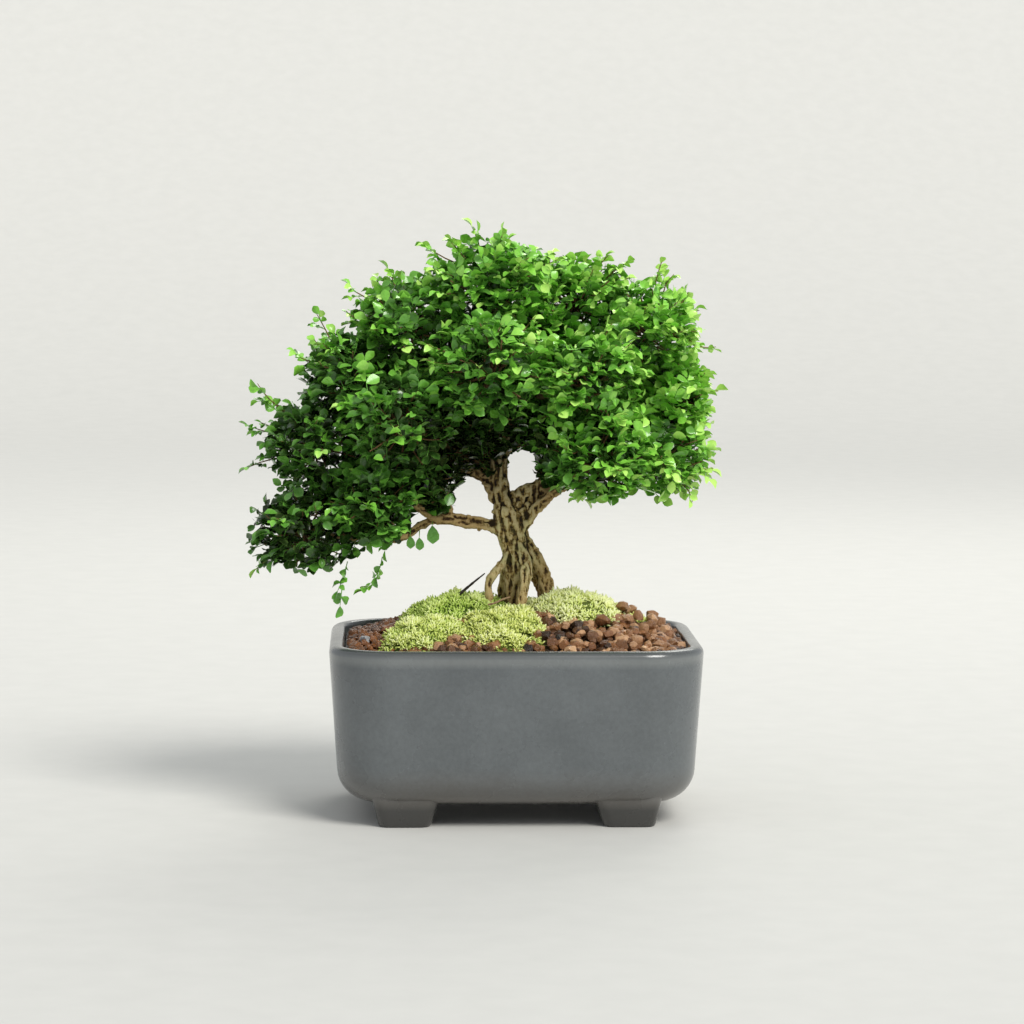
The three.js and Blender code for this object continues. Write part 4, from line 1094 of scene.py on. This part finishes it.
# Dry twig. A dead stick as thin as a match, nearly black, that stands slantwise in the moss
# left of the trunk. A shorter pale one lies at the foot of the roots.
dark_stick = smooth_line(
    [(-36, -1, 114, 0.9), (-32.5, -1.5, 117.5, 0.9), (-29.4, -2, 120.2, 0.85),
     (-22, -2.5, 126.5, 0.6), (-16.1, -3, 131.3, 0.3)],
    1.2,
)
pale_stick = smooth_line(
    [(-15, -19, 115.5, 0.5), (-11, -19.5, 116.6, 0.6), (-6.5, -19, 118.6, 0.6),
     (-2.5, -18.5, 119.8, 0.4)],
    1.0,
)
sticks = []
for line in (dark_stick, pale_stick):
    line[1:-1, 3] *= 1 + 0.12 * np.sin(np.arange(len(line) - 2) * 2.1)
    sticks.append(add_limb(line, 2))
bpy.ops.object.select_all(action="DESELECT")
for stick in sticks:
    stick.select_set(True)
bpy.context.view_layer.objects.active = sticks[0]
bpy.ops.object.convert(target="MESH")
stick = join(sticks)
stick.name = "dead_sticks"
stick.data.shade_smooth()
dead_wood, tree, coat = new_finish("dead_wood")
where = shade(tree, "TexCoord").outputs["Object"]
across = shade(tree, "SeparateXYZ", {0: where}).outputs["Y"]
streaks = speckle(tree, where, 900, 4, 0.7)
black = ramp(tree, streaks, (0.35, (0.010, 0.008, 0.007)), (0.7, (0.060, 0.042, 0.030)))
tan = ramp(tree, streaks, (0.35, (0.210, 0.120, 0.055)), (0.7, (0.470, 0.330, 0.190)))
colour = blend(tree, between(tree, across, POT_Y - 0.009, POT_Y - 0.012), black, tan)
tree.links.new(colour, coat.inputs["Base Color"])
coat.inputs["Roughness"].default_value = 0.8
relief = shade(tree, "Bump", {"Height": streaks, "Strength": 0.4, "Distance": 0.0004})
tree.links.new(relief.outputs[0], coat.inputs["Normal"])
stick.data.materials.clear()
stick.data.materials.append(dead_wood)
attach(stick, "root")
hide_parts("dry_twig")

# Foliage. Compound leaves: each sprig is a thin green stalk with five to seven small
# rounded leaflets, glossy and cupped, bottle green where they are old and yellow-green where
# they are new. Their colour is also painted as light and shade: lighter at the top, on the
# right and at the outside of the canopy, darker in its middle, and paler at the edges and tips,
# partly as a painted highlight. Three leaflets are modelled, and copies differ in size.
LEAF_ROWS = [(-0.5, 0.10), (-0.25, 0.70), (0.0, 1.0), (0.25, 0.96), (0.5, 0.46)]


def model_leaflet(cup, bend):
    """One leaflet, 1 long from its base at 0 along Y and 1 wide, folded up along its midrib."""
    bpy.ops.mesh.primitive_grid_add(x_subdivisions=2, y_subdivisions=4, size=1)
    leaflet = bpy.context.object
    bpy.ops.object.mode_set(mode="EDIT")
    for row, width in LEAF_ROWS:
        choose("verts", lambda v: abs(v.co.y - row) < 0.01)
        bpy.ops.transform.resize(value=(width, 1, 1), center_override=(0, row, 0))
        bpy.ops.transform.translate(value=(0, 0, -bend * (row + 0.5) ** 2))
        choose("verts", lambda v: abs(v.co.y - row) < 0.01 and abs(v.co.x) > 0.01)
        bpy.ops.transform.translate(value=(0, 0, cup * width))
    choose("verts", lambda v: v.co.y > 0.45 and abs(v.co.x) > 0.1)
    bpy.ops.transform.translate(value=(0, -0.10, 0))
    choose("verts", lambda v: True)
    bpy.ops.transform.translate(value=(0, 0.5, 0))
    bpy.ops.object.mode_set(mode="OBJECT")
    return take(leaflet)


LEAFLETS = [model_leaflet(0.15, 0.14), model_leaflet(0.26, 0.34), model_leaflet(0.08, 0.05)]

leaf, tree, coat = new_finish("glossy_leaf")
where = shade(tree, "TexCoord").outputs["Object"]
tint = shade(tree, "Attribute", attribute_name="leaf_tint").outputs["Vector"]
tint = shade(tree, "SeparateXYZ", {0: tint})
colour = ramp(
    tree, tint.outputs["X"],
    (0.0, (0.018, 0.034, 0.008)), (0.25, (0.040, 0.110, 0.018)), (0.5, (0.116, 0.326, 0.043)),
    (0.75, (0.250, 0.620, 0.066)), (1.0, (0.520, 0.840, 0.175)),
)
# Paler edges and tips: partly a painted highlight and partly the leaflet's own paler margin.
pale_edge_and_highlight = between(tree, tint.outputs["Y"], 0.55, 1.0, 0, 0.22)
colour = blend(tree, pale_edge_and_highlight, colour, (0.330, 0.520, 0.120, 1))
mottle = speckle(tree, where, 500, 3)
colour = blend(tree, 0.45, colour, ramp(tree, mottle, (0.3, 0.38), (0.7, 0.62)), "OVERLAY")
tree.links.new(colour, coat.inputs["Base Color"])
tree.links.new(between(tree, mottle, 0.3, 0.7, 0.20, 0.36), coat.inputs["Roughness"])
coat.inputs["Specular IOR Level"].default_value = 0.32
coat.inputs["Coat Weight"].default_value = 0.30
coat.inputs["Coat Roughness"].default_value = 0.14
relief = shade(tree, "Bump", {"Height": mottle, "Strength": 0.25, "Distance": 0.0004})
tree.links.new(relief.outputs[0], coat.inputs["Normal"])

DROOPS = [
    [(-70.9, -26, 150), (-73, -30, 143), (-74.2, -33, 137.6), (-77, -34, 129), (-81.3, -34, 121)],
    [(-88, -20, 148), (-92, -24, 140), (-94, -26, 132), (-95, -27, 125), (-95.6, -27, 118)],
]
chance = random.Random(33)
sprigs = []
for name, path, axis, thickness, count in twigs:
    side = unit(np.cross(axis, [0.2, 0.3, 0.93]))
    other = np.cross(axis, side)
    start_turn = chance.uniform(0, 6.3)
    shoot = unit(path[-1] - path[0]) * 0.4 + axis * 0.6
    for index in range(count):
        leading = index == count - 1
        spot = path[-1] - shoot * 2.2 * (count - 1 - index) * chance.uniform(0.7, 1.3)
        turn = start_turn + index * 2.39996
        spread = 0.1 if leading else chance.uniform(0.65, 1.35)
        ahead = axis * math.cos(spread)
        ahead = ahead + (side * math.cos(turn) + other * math.sin(turn)) * math.sin(spread)
        ahead = unit(ahead + np.array([0, 0, 0.12]))
        sprigs.append((name, spot, ahead, chance.uniform(9.0, 13.5), leading, False))
for name, path in shoots:
    tip_way = unit(path[-1] - path[-2])
    for back in (13, 8, 3.5, 0):
        astray = 0.7 if back else 0.1
        ahead = unit(tip_way + np.array([chance.gauss(0, astray) for way in range(3)]))
        sprigs.append((name, path[-1] - tip_way * (back + 7.5), ahead, 6.0, True, True))
for path in DROOPS:
    name = "foliage_left_low" if path[0][0] < -85 else "foliage_low_front"
    path = np.array(path, float)
    for start, end in zip(path, path[1:]):
        wander = np.array([chance.gauss(0, 0.3) for way in range(3)])
        sprigs.append((name, start, unit(end - start) + wander, 8.0, False, True))

HANGING = [(-45.4, -7, 158, 10), (-52.6, -8, 151.5, 7), (-57.6, -8, 152.4, 7)]
leaf_turns = {name: [[] for shape in LEAFLETS] for name in PADS}
leaf_places = {name: [[] for shape in LEAFLETS] for name in PADS}
leaf_tones = {name: [[] for shape in LEAFLETS] for name in PADS}
stalks = {name: [] for name in PADS}
for name, spot, ahead, length, leading, stray in sprigs:
    curve_up = np.array(
        [chance.gauss(0, 0.10), chance.gauss(0, 0.10), chance.uniform(-0.16, 0.10)]
    )
    face_up = np.array([0, 0, 0.9]) + outward(spot) * chance.uniform(-0.1, 0.55)
    face_up += np.array([chance.gauss(0, 0.22) for way in range(3)])
    face_up = unit(face_up - ahead * face_up.dot(ahead))
    across = np.cross(ahead, face_up)
    leaflets = 4 if stray else chance.choice((5, 6, 7, 7))
    young = leading and chance.random() < 0.7
    kept = reached = 0
    for index in range(leaflets):
        last = index == leaflets - 1
        fresh = stray or young and index > leaflets - 4
        t = 1.0 if last else 0.28 + 0.62 * index / (leaflets - 1)
        base = spot + ahead * length * t + curve_up * length * t * t
        swing = 0 if last else (1 if index % 2 else -1) * chance.uniform(0.7, 1.25)
        aim = ahead * math.cos(swing) + across * math.sin(swing)
        aim = unit(aim * [1, 1, 0.7] + face_up * chance.uniform(-0.30, 0.35))
        normal = face_up + np.array([chance.gauss(0, 0.28) for way in range(3)])
        normal = unit(normal - aim * normal.dot(aim))
        size = chance.uniform(5.2, 8.2) * (0.84 + 0.24 * t) * (0.80 if fresh else 1.0)
        tip = base + aim * size
        out = shares(tip).min()
        if not stray and out > lumpy(tip) or kept_open(base) or kept_open(tip):
            continue
        if out < 0.55 and chance.random() < 0.74:
            continue
        if base[1] < 2 and -42 < base[0] < -12 and 176 < base[2] < 200 and chance.random() < 0.7:
            continue
        # The tone is painted as light and shade: lighter at the top, on the right and at the
        # outside of the canopy, and darker in its middle. Fresh leaflets are yellower, and each
        # differs at random.
        painted_top_light = (base[2] - 215) / 90
        painted_right_light = (base[0] + 10) / 130
        painted_inner_shade = max(1 - np.linalg.norm((base - shade_middle) / shade_reach), 0)
        tone = 0.52 + 0.13 * painted_top_light + 0.26 * painted_right_light + 0.85 * (min(out, 1.1) - 0.85)
        tone += chance.gauss(0, 0.13) + (0.16 if fresh else 0) - 0.75 * painted_inner_shade
        kind = chance.choice((0, 1) if fresh else (0, 0, 1, 2))
        broad = size * chance.uniform(0.64, 0.80)
        turn = np.stack([np.cross(aim, normal) * broad, aim * size, normal * size], 1)
        leaf_turns[name][kind].append(turn / 1000)
        leaf_places[name][kind].append(at(*base)[:])
        leaf_tones[name][kind].append(min(max(tone, 0.02), 1.0))
        kept, reached = kept + 1, t
    if kept > 2 or stray and kept:
        path = [spot + ahead * length * t + curve_up * length * t * t
                for t in (0, 0.33 * reached, 0.66 * reached, reached)]
        stalks[name].append(np.array(path))

for x, y, z, size in HANGING:
    down = np.array([0.05, -0.1, -1.0])
    turn = np.stack([np.array([0.8, 0.3, 0]) * size * 0.86, down * size,
                     np.array([0.3, -0.9, 0.1]) * size], 1)
    leaf_turns["foliage_low_front"][2].append(turn / 1000)
    leaf_places["foliage_low_front"][2].append(at(x, y, z)[:])
    leaf_tones["foliage_low_front"][2].append(0.48)
    stem = np.array([0.2, 0, 4.0]) * np.array([[1], [0.66], [0.33], [0]])
    stalks["foliage_low_front"].append(np.array([x, y, z]) + stem)

stalk_taper = np.array([[0.34, 0.29, 0.24, 0.16]])
for name in PADS:
    parts = []
    for kind, shape in enumerate(LEAFLETS):
        if not leaf_places[name][kind]:
            continue
        turns = np.array(leaf_turns[name][kind])
        places = np.array(leaf_places[name][kind])
        corners, faces = lay(shape, turns, places)
        tones = np.repeat(np.array(leaf_tones[name][kind]), len(shape[0]))
        margin = np.abs(shape[0][:, 0]) / 0.5
        margin = np.tile(np.maximum(margin, shape[0][:, 1] ** 6), len(places))
        parts.append((corners, faces, np.stack([tones, margin, margin * 0], 1)))
    paths = np.array(stalks[name])
    corners, faces = tubes(paths, np.repeat(stalk_taper, len(paths), axis=0), 3)
    corners = corners / 1000 + np.array(at(0, 0, 0))
    parts.append((corners, faces, np.tile([0.55, 0.1, 0], (len(corners), 1))))
    spray = build("leafy_" + name.removeprefix("foliage_"), *gather(parts), "leaf_tint")
    spray.data.materials.append(leaf)
    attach(spray, "root")
    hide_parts(name)

# The table that the pot stands on, a camera at the front and slightly above the rim, and
# soft daylight: a hazy sun at the upper right in front, a faint rim light and a pale sky.
bpy.ops.mesh.primitive_plane_add(size=6, location=(0, 0, 0))
table = bpy.context.object
table.name = "pale_table"
bpy.ops.object.transform_apply(location=True, rotation=True, scale=True)
bpy.ops.object.mode_set(mode="EDIT")
choose("edges", lambda e: all(corner.co.y > 2.9 for corner in e.verts))
for step in range(12):
    turn = math.radians(90) * (step + 0.5) / 12
    rise = {"value": (0, 0.45 * math.cos(turn), 0.45 * math.sin(turn))}
    bpy.ops.mesh.extrude_region_move(TRANSFORM_OT_translate=rise)
bpy.ops.mesh.extrude_region_move(TRANSFORM_OT_translate={"value": (0, 0, 4)})
bpy.ops.object.mode_set(mode="OBJECT")
table.data.shade_smooth()
stone, tree, coat = new_finish("pale_stone_table")
where = shade(tree, "TexCoord").outputs["Object"]
cloudy = speckle(tree, where, 40, 5)
colour = ramp(tree, cloudy, (0.3, (0.590, 0.584, 0.556)), (0.7, (0.614, 0.607, 0.578)))
tree.links.new(colour, coat.inputs["Base Color"])
coat.inputs["Roughness"].default_value = 0.7
table.data.materials.append(stone)

bpy.ops.object.camera_add(location=(-0.0596, -2.0024, 0.3383))
camera = bpy.context.object
camera.rotation_euler = (math.radians(90) - 0.0863, -0.0040, -0.0360)
camera.data.sensor_width = 36
camera.data.lens = 127.5
bpy.context.scene.view_settings.view_transform = "Standard"
bpy.context.scene.camera = camera

bpy.ops.object.light_add(type="SUN", location=(0.85, -1.20, 1.5))
sun = bpy.context.object
sun.name = "soft_sun"
sun.rotation_euler = Vector((-0.85, 1.20, -1.5)).to_track_quat("-Z", "Y").to_euler()
sun.data.energy = 2.6
sun.data.angle = 0.45
sun.data.color = (1.0, 0.98, 0.93)
bpy.ops.object.light_add(type="AREA", location=(0.5, 1.5, 1.5))
rim_light = bpy.context.object
rim_light.name = "rim"
rim_light.rotation_euler = Vector((-0.5, -1.5, -1.25)).to_track_quat("-Z", "Y").to_euler()
rim_light.data.size = 0.9
rim_light.data.energy = 10
rim_light.data.color = (1.0, 1.0, 0.95)
rim_light.visible_camera = False
sky = bpy.data.worlds.new("pale_sky")
sky.use_nodes = True
sky.node_tree.nodes["Background"].inputs["Color"].default_value = (0.82, 0.86, 0.90, 1)
sky.node_tree.nodes["Background"].inputs["Strength"].default_value = 0.70
bpy.context.scene.world = sky
